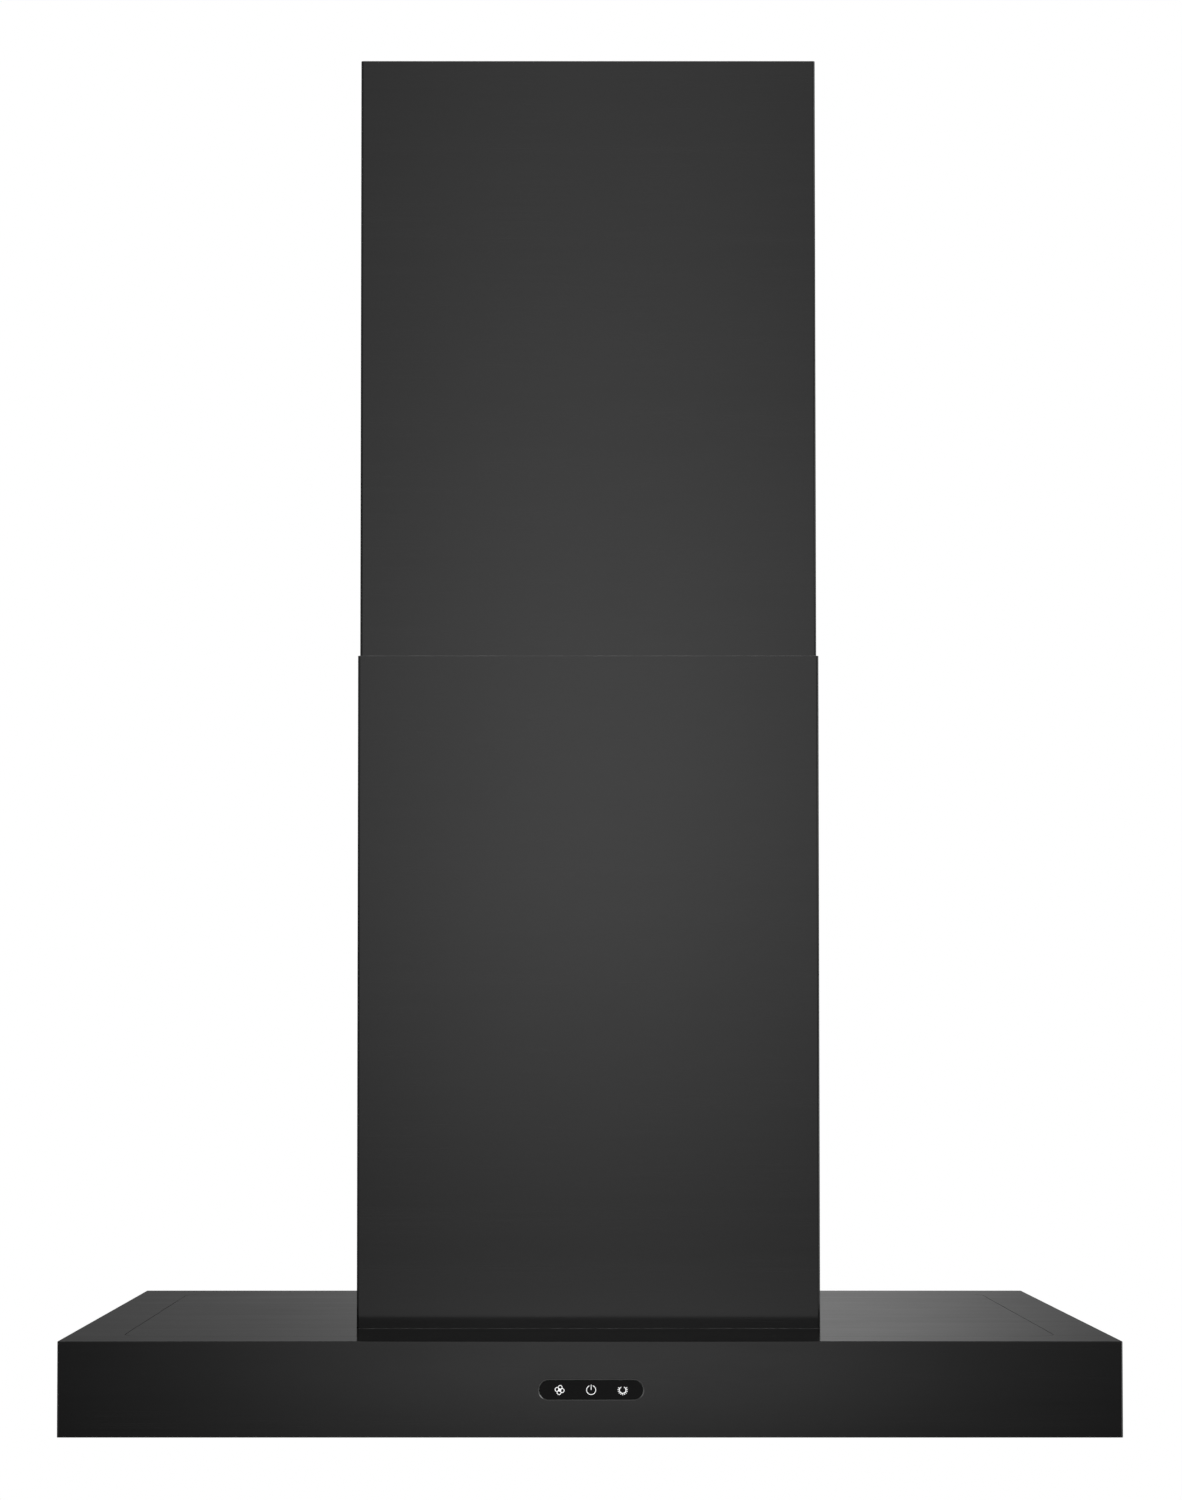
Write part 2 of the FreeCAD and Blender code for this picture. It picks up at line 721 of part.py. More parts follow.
def make_blower_box():
    """A sheet box, open below, with a foot flange and a round outlet in its roof."""
    body = centred_block(blower_half_x, blower_half_y, base_level, blower_top)
    flange_x = blower_half_x + blower_flange
    flange_y = blower_half_y + blower_flange
    flange = centred_block(flange_x, flange_y, base_level, base_level + blower_sheet)
    roof = blower_top - blower_sheet
    hollow_x = blower_half_x - blower_sheet
    hollow_y = blower_half_y - blower_sheet
    hollow = centred_block(hollow_x, hollow_y, base_level - PAST, roof)
    outlet_radius = collar_radius - collar_wall - stop_ring_width
    outlet = rod(outlet_radius, 0, 0, roof - PAST, Z_AXIS, blower_sheet + 2 * PAST)
    stud_hole = rod(
        capacitor_stud_radius + hole_play, blower_half_x - blower_sheet - PAST, capacitor_from_centre,
        base_level + capacitor_level, X_AXIS, blower_sheet + 2 * PAST,
    )
    return body.fuse(flange).cut([hollow, outlet, stud_hole]).removeSplitter()


def scroll_outline(inset, x):
    """The scroll's outline in the plane at x: three quarter arcs whose radius grows by one step each,
    with each arc's centre moved so that they join, and then a straight outlet upwards."""
    first = scroll_first_radius - inset
    second = scroll_second_radius - inset
    third = scroll_third_radius - inset
    step = scroll_step
    outlet_right = wheel_y + scroll_right - inset
    outlet_left = wheel_y + scroll_right - scroll_outlet_width + inset
    outlet_top = blower_top - blower_sheet

    def at(y, z):
        return FreeCAD.Vector(x, y, z)

    def quarter(centre_y, centre_z, radius, start_angle):
        """A quarter arc, turning from the start angle, which is measured from +Y towards +Z."""
        points = []
        for turn in (0, 45, 90):
            angle = math.radians(start_angle + turn)
            points.append(at(centre_y + radius * math.cos(angle), centre_z + radius * math.sin(angle)))
        return Part.Arc(*points).toShape()

    top = at(wheel_y, wheel_z + first)
    tongue = at(outlet_left, wheel_z + first)
    corner_left = at(outlet_left, outlet_top)
    corner_right = at(outlet_right, outlet_top)
    end = at(outlet_right, wheel_z + step)
    edges = [
        quarter(wheel_y, wheel_z, first, 90),
        quarter(wheel_y + step, wheel_z, second, 180),
        quarter(wheel_y + step, wheel_z + step, third, 270),
        Part.makeLine(end, corner_right),
        Part.makeLine(corner_right, corner_left),
        Part.makeLine(corner_left, tongue),
        Part.makeLine(tongue, top),
    ]
    return Part.Face(Part.Wire(Part.__sortEdges__(edges)))


def make_scroll_half(side):
    """Half of the scroll housing: the spiral wall, an end wall with a round inlet and its lip, and half
    of the flange around the outlet."""
    end = -scroll_half_width
    outside = scroll_outline(0, end).extrude(FreeCAD.Vector(scroll_half_width, 0, 0))
    hollow_length = scroll_half_width - scroll_wall + PAST
    inside = scroll_outline(scroll_wall, end + scroll_wall).extrude(FreeCAD.Vector(hollow_length, 0, 0))
    outlet_low = wheel_y + scroll_right - scroll_outlet_width
    outlet_high = wheel_y + scroll_right
    top = blower_top - blower_sheet
    mouth = block(end + scroll_wall, PAST, outlet_low + scroll_wall, outlet_high - scroll_wall, top - PAST,
                  top + PAST)
    flange = block(end - scroll_flange, 0, outlet_low - scroll_flange, outlet_high + scroll_flange,
                   top - scroll_wall, top)
    flange = flange.cut(block(end, PAST, outlet_low, outlet_high, top - scroll_wall - PAST, top + PAST))
    lip = rod(scroll_inlet_radius + scroll_wall, end - scroll_lip, wheel_y, wheel_z, X_AXIS, scroll_lip)
    inlet = rod(scroll_inlet_radius, end - scroll_lip - PAST, wheel_y, wheel_z, X_AXIS,
                scroll_lip + scroll_wall + 2 * PAST)
    half = outside.cut([inside, mouth]).fuse(flange).fuse(lip).cut(inlet).removeSplitter()
    return half if side < 0 else half.mirror(ORIGIN, X_AXIS)


def wheel_rod(radius, start, length):
    """A cylinder on the blower wheel's axis, from a place along X."""
    return rod(radius, start, wheel_y, wheel_z, X_AXIS, length)


def wheel_bore(radius, start, length):
    """A cutting tool on the wheel's axis, which runs past both ends of a length."""
    return wheel_rod(radius, start - PAST, length + 2 * PAST)


def make_blower_wheel():
    """A double-inlet wheel: a middle disc with its hub, an end ring at each side, and leaning blades."""
    parts = [wheel_rod(wheel_radius, -wheel_ring / 2, wheel_ring)]
    parts.append(wheel_rod(hub_radius, -hub_half_length, 2 * hub_half_length))
    for start in (-wheel_half_width, wheel_half_width - wheel_ring):
        disc = wheel_rod(wheel_radius, start, wheel_ring)
        parts.append(disc.cut(wheel_bore(wheel_inner_radius, start, wheel_ring)))
    middle = (wheel_radius + wheel_inner_radius) / 2
    chord = (wheel_radius - wheel_inner_radius) / math.cos(math.radians(blade_lean)) - 2 * blade_thickness
    for index in range(blade_count):
        blade = block(-wheel_half_width, wheel_half_width, -blade_thickness / 2, blade_thickness / 2,
                      -chord / 2, chord / 2)
        blade.rotate(ORIGIN, X_AXIS, blade_lean)
        blade.translate(FreeCAD.Vector(0, 0, middle))
        blade.rotate(ORIGIN, X_AXIS, 360 * index / blade_count)
        blade.translate(FreeCAD.Vector(0, wheel_y, wheel_z))
        parts.append(blade)
    wheel = parts[0].multiFuse(parts[1:])
    return wheel.cut(wheel_bore(shaft_radius, -hub_half_length, 2 * hub_half_length))


def make_motor_shaft():
    """The motor's shaft, which also carries the wheel's hub."""
    start = -hub_half_length - shaft_end
    return wheel_rod(shaft_radius, start, motor_end - motor_shaft_inset - start)


def make_motor_rotor():
    """The solid core that turns with the shaft."""
    body = wheel_rod(rotor_radius, rotor_start, rotor_length)
    return body.cut(wheel_bore(shaft_radius, rotor_start, rotor_length))


def make_motor_stator():
    """A ring of laminations inside the case."""
    body = wheel_rod(motor_radius - motor_wall, rotor_start, rotor_length)
    return body.cut(wheel_bore(rotor_radius + rotor_gap, rotor_start, rotor_length))


def make_motor_case():
    """The motor's can, with a bearing seat in each end wall."""
    can = wheel_rod(motor_radius, motor_start, motor_length)
    hollow_length = motor_length - 2 * motor_end_wall
    hollow = wheel_rod(motor_radius - motor_wall, motor_start + motor_end_wall, hollow_length)
    return can.cut([hollow, wheel_bore(bearing_radius, motor_start, motor_length)])


def make_motor_bearings():
    """Two bearings, which carry the shaft in the case's end walls."""
    inset = (motor_end_wall - bearing_width) / 2
    pieces = []
    for start in (motor_start + inset, motor_end - inset - bearing_width):
        ring = wheel_rod(bearing_radius, start, bearing_width)
        pieces.append(ring.cut(wheel_bore(shaft_radius + shaft_fit, start, bearing_width)))
    return group(pieces)


def make_motor_bracket():
    """Three arms from the motor's end to the scroll's end wall."""
    plate = wheel_rod(motor_radius, motor_end, bracket_sheet)
    half = bracket_arm_width / 2
    far = motor_end + bracket_sheet
    foot_start = bracket_reach - scroll_flange
    parts = []
    for turn in bracket_arm_turns:
        arm = block(motor_end, far, -half, half, motor_radius / 2, bracket_reach)
        foot = block(scroll_half_width, motor_end, -half, half, foot_start, bracket_reach)
        arm = arm.fuse(foot)
        arm.rotate(ORIGIN, X_AXIS, turn)
        arm.translate(FreeCAD.Vector(0, wheel_y, wheel_z))
        parts.append(arm)
    opening = wheel_bore(bracket_inner_radius, motor_end, bracket_sheet)
    return plate.multiFuse(parts).cut(opening).removeSplitter()


def make_capacitor():
    """The motor's run capacitor, held by its stud and nut through the blower box's side wall."""
    y = capacitor_from_centre
    z = base_level + capacitor_level
    wall = blower_half_x - blower_sheet
    can = rod(capacitor_radius, wall - capacitor_length, y, z, X_AXIS, capacitor_length)
    rims = [edge for edge in can.Edges if edge.Closed and edge.BoundBox.XMax < wall - capacitor_length / 2]
    can = can.makeFillet(capacitor_edge_radius, rims)
    stud = rod(capacitor_stud_radius, wall, y, z, X_AXIS, capacitor_stud_length)
    nut = hexagon(capacitor_nut_across, blower_half_x, y, z, X_AXIS, capacitor_nut_height)
    return can.multiFuse([stud, nut]).removeSplitter()


# ---- duct collar and damper ----


def make_duct_collar():
    """The spigot that the duct slides over, with a foot flange and a ring that stops the flaps."""
    bore = collar_radius - collar_wall
    flange = rod(collar_flange_radius, 0, 0, collar_base, Z_AXIS, collar_flange_thickness)
    tube = rod(collar_radius, 0, 0, collar_base, Z_AXIS, collar_height)
    body = flange.fuse(tube).cut(rod(bore, 0, 0, collar_base - PAST, Z_AXIS, collar_height + 2 * PAST))
    low = damper_axis_z - damper_thickness / 2 - part_clearance - stop_ring_height
    ring = rod(bore + collar_wall / 2, 0, 0, low, Z_AXIS, stop_ring_height)
    ring = ring.cut(rod(bore - stop_ring_width, 0, 0, low - PAST, Z_AXIS, stop_ring_height + 2 * PAST))
    reach = collar_radius + PAST
    radius = damper_pin_radius + shaft_fit
    holes = [
        rod(radius, -reach, side * damper_pin_offset, damper_axis_z, X_AXIS, 2 * reach) for side in (-1, 1)
    ]
    return body.fuse(ring).cut(holes).removeSplitter()


def make_damper_pins():
    """The two hinge pins of the damper's flaps, held in the collar's wall."""
    reach = collar_radius - collar_wall / 2
    pin = rod(damper_pin_radius, -reach, damper_pin_offset, damper_axis_z, X_AXIS, 2 * reach)
    return group(both_sides(pin, Y_AXIS))


def make_damper_flap(end):
    """A half-round flap with a rolled sleeve around its pin, closed and level at rest."""
    radius = collar_radius - collar_wall - damper_edge_gap
    y = damper_pin_offset
    z = damper_axis_z
    disc = rod(radius, 0, 0, z - damper_thickness / 2, Z_AXIS, damper_thickness)
    plate = disc.common(block(-radius, radius, y, radius, z - PAST, z + PAST))
    half_length = damper_sleeve_half_length
    sleeve = rod(damper_sleeve_radius, -half_length, y, z, X_AXIS, 2 * half_length)
    bore = rod(damper_pin_radius + hole_play, -collar_radius, y, z, X_AXIS, 2 * collar_radius)
    flap = plate.fuse(sleeve).cut(bore).removeSplitter()
    return flap if end > 0 else flap.mirror(ORIGIN, Y_AXIS)


# ---- filter bay ----


def hinge_slot(x_low, x_high):
    """A slot, open at the top, that a filter's hinge pin drops into."""
    radius = hinge_pin_radius + hinge_slot_play
    high = filter_level + rail_height + PAST
    channel = block(x_low, x_high, hinge_y - radius, hinge_y + radius, hinge_z, high)
    return channel.fuse(rod(radius, x_low, hinge_y, hinge_z, X_AXIS, x_high - x_low))


def make_filter_rails():
    """An upright web with a foot at each side of the filter bay, and a flat strip in front of the filters
    and behind them, all on the liner pan. The latches hook over the front strip."""
    depth = filter_bay_half_depth
    web = block(rail_inner_x, bay_half_x, -depth, depth, filter_level, filter_level + rail_height)
    foot_low = liner_level + liner_sheet
    foot_high = foot_low + rail_sheet
    foot = block(rail_inner_x, bay_half_x + rail_foot, -depth, depth, foot_low, foot_high)
    rail = web.fuse(foot).cut(hinge_slot(rail_inner_x - PAST, bay_half_x + PAST))
    strip = block(-bay_half_x, bay_half_x, depth, depth + end_rail_width, foot_low, foot_high)
    return group(both_sides(rail.removeSplitter()) + both_sides(strip, Y_AXIS))


def make_filter_dividers():
    """Channels between the filters, open at the top, with a hinge slot in each web."""
    rails = []
    depth = filter_bay_half_depth
    half = divider_width / 2
    inner = half - rail_sheet
    floor = filter_level + rail_sheet
    high = filter_level + rail_height
    for x in divider_centres:
        bar = block(x - half, x + half, -depth, depth, filter_level, high)
        hollow = block(x - inner, x + inner, -depth - PAST, depth + PAST, floor, high + PAST)
        left_slot = hinge_slot(x - half - PAST, x - inner)
        right_slot = hinge_slot(x + inner, x + half + PAST)
        rails.append(bar.cut([hollow, left_slot, right_slot]))
    return group(rails)


def make_filter_frame(centre):
    """A folded ring that holds the baffles, with a wide front strip for the latch and a hinge pin at
    each rear corner."""
    half_x = filter_width / 2
    low = filter_level
    high = low + filter_height
    wall = filter_sheet
    body = centred_block(half_x, filter_half_y, low, high)
    window_front = -filter_half_y + filter_front_strip
    window = block(-half_x + filter_lip, half_x - filter_lip, window_front, filter_half_y - filter_lip,
                   low - PAST, high + PAST)
    cavity = centred_block(half_x - wall, filter_half_y - wall, low + wall, high - wall)
    slot_x = latch_tab_half_width + joint_play
    slot_front = latch_front + latch_tab_inset - joint_play
    slot_rear = slot_front + latch_tab_thickness + latch_travel + 2 * joint_play
    tab_slot = block(-slot_x, slot_x, slot_front, slot_rear, low - PAST, low + wall + PAST)
    tongue_x = latch_half_width + joint_play
    tongue_low = latch_level - part_clearance
    tongue_high = latch_level + latch_thickness + part_clearance
    front = -filter_half_y
    tongue_slot = block(-tongue_x, tongue_x, front - PAST, front + wall + PAST, tongue_low, tongue_high)
    stop_y = latch_rear + spring_length
    stop = block(-latch_seat_half_width, latch_seat_half_width, stop_y, stop_y + rail_sheet, low, high)
    frame = body.cut([window, cavity, tab_slot, tongue_slot]).fuse(stop)
    reach = filter_side_gap + 2 * rail_sheet
    for start in (half_x - wall, -half_x - reach):
        frame = frame.fuse(rod(hinge_pin_radius, start, hinge_y, hinge_z, X_AXIS, reach + wall))
    frame.translate(FreeCAD.Vector(centre, 0, 0))
    return frame.removeSplitter()


def baffle_channel(centre, width, y_low, y_high, z_base, z_tip):
    """A channel section that runs front to back, with its base at one level and its lips at another."""
    half = width / 2
    inner = half - baffle_sheet
    low, high = sorted((z_base, z_tip))
    bar = block(centre - half, centre + half, y_low, y_high, low, high)
    up = z_tip > z_base
    inner_low = z_base + baffle_sheet if up else low - PAST
    inner_high = high + PAST if up else z_base - baffle_sheet
    hollow = block(centre - inner, centre + inner, y_low - PAST, y_high + PAST, inner_low, inner_high)
    return bar.cut(hollow)


def make_filter_baffles(centre):
    """Two layers of channels, the upper ones over the gaps of the lower ones, so that grease strikes
    metal and the air turns."""
    inner = filter_width - 2 * filter_sheet
    lower_count = int((inner - baffle_lower_width) // baffle_pitch) + 1
    y_low = -filter_half_y + filter_front_strip - filter_lip / 2
    y_high = filter_half_y - filter_sheet
    floor = filter_level + filter_sheet
    roof = filter_level + filter_height - filter_sheet
    channels = []
    for index in range(lower_count):
        x = centre + (index - (lower_count - 1) / 2) * baffle_pitch
        channels.append(baffle_channel(x, baffle_lower_width, y_low, y_high, floor, floor + baffle_flange))
    for index in range(lower_count - 1):
        x = centre + (index - (lower_count - 2) / 2) * baffle_pitch
        channels.append(baffle_channel(x, baffle_upper_width, y_low, y_high, roof, roof - baffle_flange))
    return group(channels)


def make_filter_latch(centre):
    """A sliding tongue with a finger tab below and a spring seat behind."""
    low = latch_level
    half = latch_half_width
    tongue = block(-half, half, latch_front, latch_rear, low, low + latch_thickness)
    half = latch_seat_half_width
    seat = block(-half, half, latch_rear - latch_thickness, latch_rear, low, low + latch_seat_height)
    half = latch_tab_half_width
    tab_y = latch_front + latch_tab_inset
    tab = block(-half, half, tab_y, tab_y + latch_tab_thickness, filter_level - latch_tab_drop, low)
    latch = tongue.multiFuse([seat, tab])
    latch.translate(FreeCAD.Vector(centre, 0, 0))
    return latch.removeSplitter()


def make_latch_spring(centre):
    """A coil spring between the latch's seat and the frame's stop."""
    pitch = (spring_length - 2 * spring_wire_radius - 2 * hole_play) / spring_turns
    path = Part.makeHelix(pitch, pitch * spring_turns, spring_radius)
    section = Part.Wire(Part.makeCircle(spring_wire_radius, FreeCAD.Vector(spring_radius, 0, 0), Y_AXIS))
    spring = Part.Wire(path).makePipeShell([section], True, True)
    middle = latch_level + latch_seat_height / 2
    spring.rotate(ORIGIN, X_AXIS, -90)
    spring.translate(FreeCAD.Vector(centre, latch_rear + spring_wire_radius + hole_play, middle))
    return spring


# ---- lamps ----


def at_lamps(shape):
    """The same shape at each of the four lamps."""
    pieces = []
    for x, y in lamp_places:
        piece = shape.copy()
        piece.translate(FreeCAD.Vector(x, y, liner_level))
        pieces.append(piece)
    return group(pieces)


def make_lamp_bezels():
    """Trim rings under the liner pan, with their lower edges rounded."""
    height = lamp_bezel_height
    ring = rod(lamp_bezel_radius, 0, 0, -height, Z_AXIS, height)
    lower = [edge for edge in ring.Edges if edge.Closed and edge.BoundBox.ZMax < -height / 2]
    ring = ring.makeFillet(height / 2, lower)
    return at_lamps(ring.cut(rod(lamp_lens_radius, 0, 0, -height - PAST, Z_AXIS, height + 2 * PAST)))


def make_lamp_lenses():
    """Flat lenses inside the trim rings."""
    start = -lamp_bezel_height / 2
    return at_lamps(rod(lamp_lens_radius, 0, 0, start, Z_AXIS, lamp_lens_height - lamp_bezel_height / 2))


def make_lamp_bodies():
    """Cups behind the lenses, with cooling fins on top."""
    floor = lamp_lens_height - lamp_bezel_height
    cup = rod(lamp_body_radius, 0, 0, 0, Z_AXIS, lamp_body_height)
    hollow = rod(lamp_lens_radius, 0, 0, -PAST, Z_AXIS, floor + PAST)
    slots = []
    low = lamp_body_height / 2
    high = lamp_body_height + PAST
    for index in range(lamp_fin_count):
        x = (index - (lamp_fin_count - 1) / 2) * 2 * lamp_lens_radius / lamp_fin_count
        slots.append(centred_block(lamp_fin_slot_half_width, lamp_body_radius + PAST, low, high, x))
    return at_lamps(cup.cut([hollow] + slots))


# ---- touch control ----


def make_control_glass():
    """A capsule of black glass in the canopy's front wall, with its front edge rounded."""
    glass = capsule(control_length, control_height, control_z, control_face, board_front, control_offset)
    front = [edge for edge in glass.Edges if edge.BoundBox.YMax < control_face + NEAR]
    return glass.makeFillet(control_rim_radius, front)


def icon_ring(x, radius, opening=0.0):
    """A ring on the glass, facing forwards, with an optional gap at the top, half as wide as given."""
    start = control_face - icon_proud
    outer = rod(radius, x, start, control_z, Y_AXIS, icon_proud)
    tools = [rod(radius - icon_line, x, start - PAST, control_z, Y_AXIS, icon_proud + 2 * PAST)]
    if opening > 0:
        top = control_z + radius + PAST
        tools.append(block(x - opening, x + opening, start - PAST, control_face + PAST, control_z, top))
    return outer.cut(tools)


def icon_bar(x, low, high, turn=0):
    """A bar on the glass, from one height above the icons' line to another, turned about its icon."""
    half = icon_line / 2
    front = control_face - icon_proud
    bar = block(x - half, x + half, front, control_face, control_z + low, control_z + high)
    bar.rotate(FreeCAD.Vector(x, 0, control_z), Y_AXIS, turn)
    return bar


def make_fan_icon(x):
    """Four looped blades around a hub."""
    hub = icon_ring(x, icon_radius * icon_hub_share)
    loops = []
    for index in range(4):
        loop = icon_ring(x, icon_radius * icon_loop_share)
        loop.translate(FreeCAD.Vector(0, 0, icon_radius * (1 - icon_loop_share)))
        loop.rotate(FreeCAD.Vector(x, 0, control_z), Y_AXIS, 90 * index + icon_loop_turn)
        loops.append(loop)
    return hub.multiFuse(loops).removeSplitter()


def make_power_icon(x):
    """A ring that is open at the top, and a bar in the opening."""
    ring = icon_ring(x, icon_radius, icon_power_opening)
    return [ring, icon_bar(x, icon_line / 2, icon_radius + icon_line / 2)]


def make_lamp_icon(x):
    """A ring that is open at the top, with rays around the rest of it."""
    ring = icon_ring(x, icon_radius * icon_lamp_share, icon_lamp_opening)
    low = icon_radius * icon_lamp_share - icon_line / 2
    rays = [icon_bar(x, low, icon_radius + icon_line / 2, turn) for turn in icon_ray_turns]
    return ring.multiFuse(rays).removeSplitter()


def make_touch_icons():
    """Three printed signs: a fan, a power sign and a lamp."""
    fan = make_fan_icon(control_offset - icon_pitch)
    lamp = make_lamp_icon(control_offset + icon_pitch)
    return group([fan, lamp] + make_power_icon(control_offset))


def make_touch_board():
    """The sensor board behind the glass, with a chip on its rear face."""
    x = control_offset
    z = control_z
    half = touch_board_length / 2
    tall = touch_board_height / 2
    rear = board_front + touch_board_thickness
    board = block(x - half, x + half, board_front, rear, z - tall, z + tall)
    size = touch_chip_size / 2
    chip = block(x - size, x + size, rear, rear + touch_chip_thickness, z - size, z + size)
    return board.fuse(chip)


def make_touch_holder():
    """A plastic tray on the inside of the front wall, which presses the board against the glass."""
    x = control_offset
    z = control_z
    half = touch_board_length / 2 + part_clearance
    tall = touch_board_height / 2 + part_clearance
    wide = half + holder_wall
    high = tall + holder_wall
    rear = inner_front + holder_depth
    body = block(x - wide, x + wide, inner_front, rear, z - high, z + high)
    hollow = block(x - half, x + half, inner_front - PAST, rear - holder_wall, z - tall, z + tall)
    return body.cut(hollow)


def control_box_block(inset, z_low, z_high):
    """A block with the control box's plan, made smaller all round."""
    half = control_box_length / 2 - inset
    front = control_box_front + inset
    rear = control_box_front + control_box_depth - inset
    return block(-half, half, front, rear, z_low, z_high)


def make_control_box():
    """An open tray for the mains board, on a low foot on the liner pan."""
    high = control_box_floor + control_box_height
    tray = control_box_block(0, control_box_floor, high)
    tray = tray.cut(control_box_block(control_box_wall, control_box_floor + control_box_wall, high + PAST))
    foot = control_box_block(control_box_foot_inset, liner_level + liner_sheet, control_box_floor)
    return tray.fuse(foot).removeSplitter()


def make_control_box_cover():
    """A lid with a lip that fits inside the tray."""
    high = control_box_floor + control_box_height
    lid = control_box_block(0, high, high + control_box_wall)
    low = high - 2 * control_box_wall
    lip = control_box_block(control_box_wall + part_clearance, low, high)
    lip = lip.cut(control_box_block(2 * control_box_wall, low - PAST, high))
    return lid.fuse(lip).removeSplitter()


def make_control_board():
    """The mains board, with its transformer, relays and terminals."""
    floor = control_box_floor + control_box_wall
    low = floor + board_stand_off
    top = low + board_thickness
    board = control_box_block(control_box_wall + joint_play, low, top)
    middle = control_box_front + control_box_depth / 2
    parts = []
    for x, half_x, half_y, tall in mains_board_parts:
        parts.append(centred_block(half_x, half_y, top, top + tall, x, middle))
    for x in (-board_post_offset, board_post_offset):
        parts.append(rod(board_stand_off / 2, x, middle, floor, Z_AXIS, board_stand_off))
    return board.multiFuse(parts).removeSplitter()


sub_parts = {
    "ceiling_plate": make_ceiling_plate(),
    "upper_legs": make_upper_legs(),
    "upper_crossbars": make_upper_crossbars(),
    "flue_hangers": make_flue_hangers(),
    "ceiling_frame_screws": make_ceiling_frame_screws(),
    "upper_flue_front": make_upper_flue(-1),
    "upper_flue_rear": make_upper_flue(1),
    "upper_flue_strips": make_upper_flue_strips(),
    "lower_flue_front": make_lower_flue(-1),
    "lower_flue_rear": make_lower_flue(1),
    "lower_flue_strips": make_lower_flue_strips(),
    "canopy_shell": make_canopy_shell(),
    "canopy_seam_frame": make_canopy_seam_frame(),
    "canopy_top_plate": make_canopy_top_plate(),
    "liner_pan": make_liner_pan(),
    "plenum_walls": make_plenum_walls(),
    "canopy_screws": make_canopy_screws(),
    "base_frame": make_base_frame(),
    "lower_legs": make_lower_legs(),
    "lower_crossbars": make_lower_crossbars(),
    "frame_bolts": make_frame_bolts(),
    "blower_box": make_blower_box(),
    "scroll_left": make_scroll_half(-1),
    "scroll_right": make_scroll_half(1),
    "blower_wheel": make_blower_wheel(),
    "motor_shaft": make_motor_shaft(),
    "motor_rotor": make_motor_rotor(),
    "motor_stator": make_motor_stator(),
    "motor_case": make_motor_case(),
    "motor_bearings": make_motor_bearings(),
    "motor_bracket": make_motor_bracket(),
    "capacitor": make_capacitor(),
    "duct_collar": make_duct_collar(),
    "damper_pins": make_damper_pins(),
    "damper_flap_front": make_damper_flap(-1),
    "damper_flap_rear": make_damper_flap(1),
    "filter_rails": make_filter_rails(),
    "filter_dividers": make_filter_dividers(),
    "lamp_bezels": make_lamp_bezels(),
    "lamp_lenses": make_lamp_lenses(),
    "lamp_bodies": make_lamp_bodies(),
    "control_glass": make_control_glass(),
    "touch_icons": make_touch_icons(),
    "touch_board": make_touch_board(),
    "touch_holder": make_touch_holder(),
    "control_box": make_control_box(),
    "control_box_cover": make_control_box_cover(),
    "control_board": make_control_board(),
}
for number, centre in enumerate(filter_centres, start=1):
    sub_parts[f"filter_frame_{number}"] = make_filter_frame(centre)
    sub_parts[f"filter_baffles_{number}"] = make_filter_baffles(centre)
    sub_parts[f"filter_latch_{number}"] = make_filter_latch(centre)
    sub_parts[f"latch_spring_{number}"] = make_latch_spring(centre)

os.makedirs("parts", exist_ok=True)
for name, shape in sub_parts.items():
    shape.exportStep(f"parts/{name}.step")
    volume = sum(solid.Volume for solid in shape.Solids)
    print(f"{name}: {len(shape.Solids)} solids, {volume / 1000:.2f} cm3, valid {shape.isValid()}")
print(f"{len(sub_parts)} sub-parts, {canopy_width:.0f} x {canopy_depth:.0f} x {-canopy_bottom:.0f} mm")
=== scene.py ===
# %% [markdown]
# # An island range hood in brushed black steel
#
# The hood's sheets, screws, motor, filters and touch strip come from the CAD model, and this lesson gives
# them their looks. It builds the room, the light and the camera first, then a small kit of shader node
# groups, then one finish for each kind of surface, and last the few pieces that are better made here.
# Everything is in metres, in the CAD model's own frame: +Z is up, the front faces -Y, and z = 0 is the
# ceiling.

# %% Load the frame
import json
import math

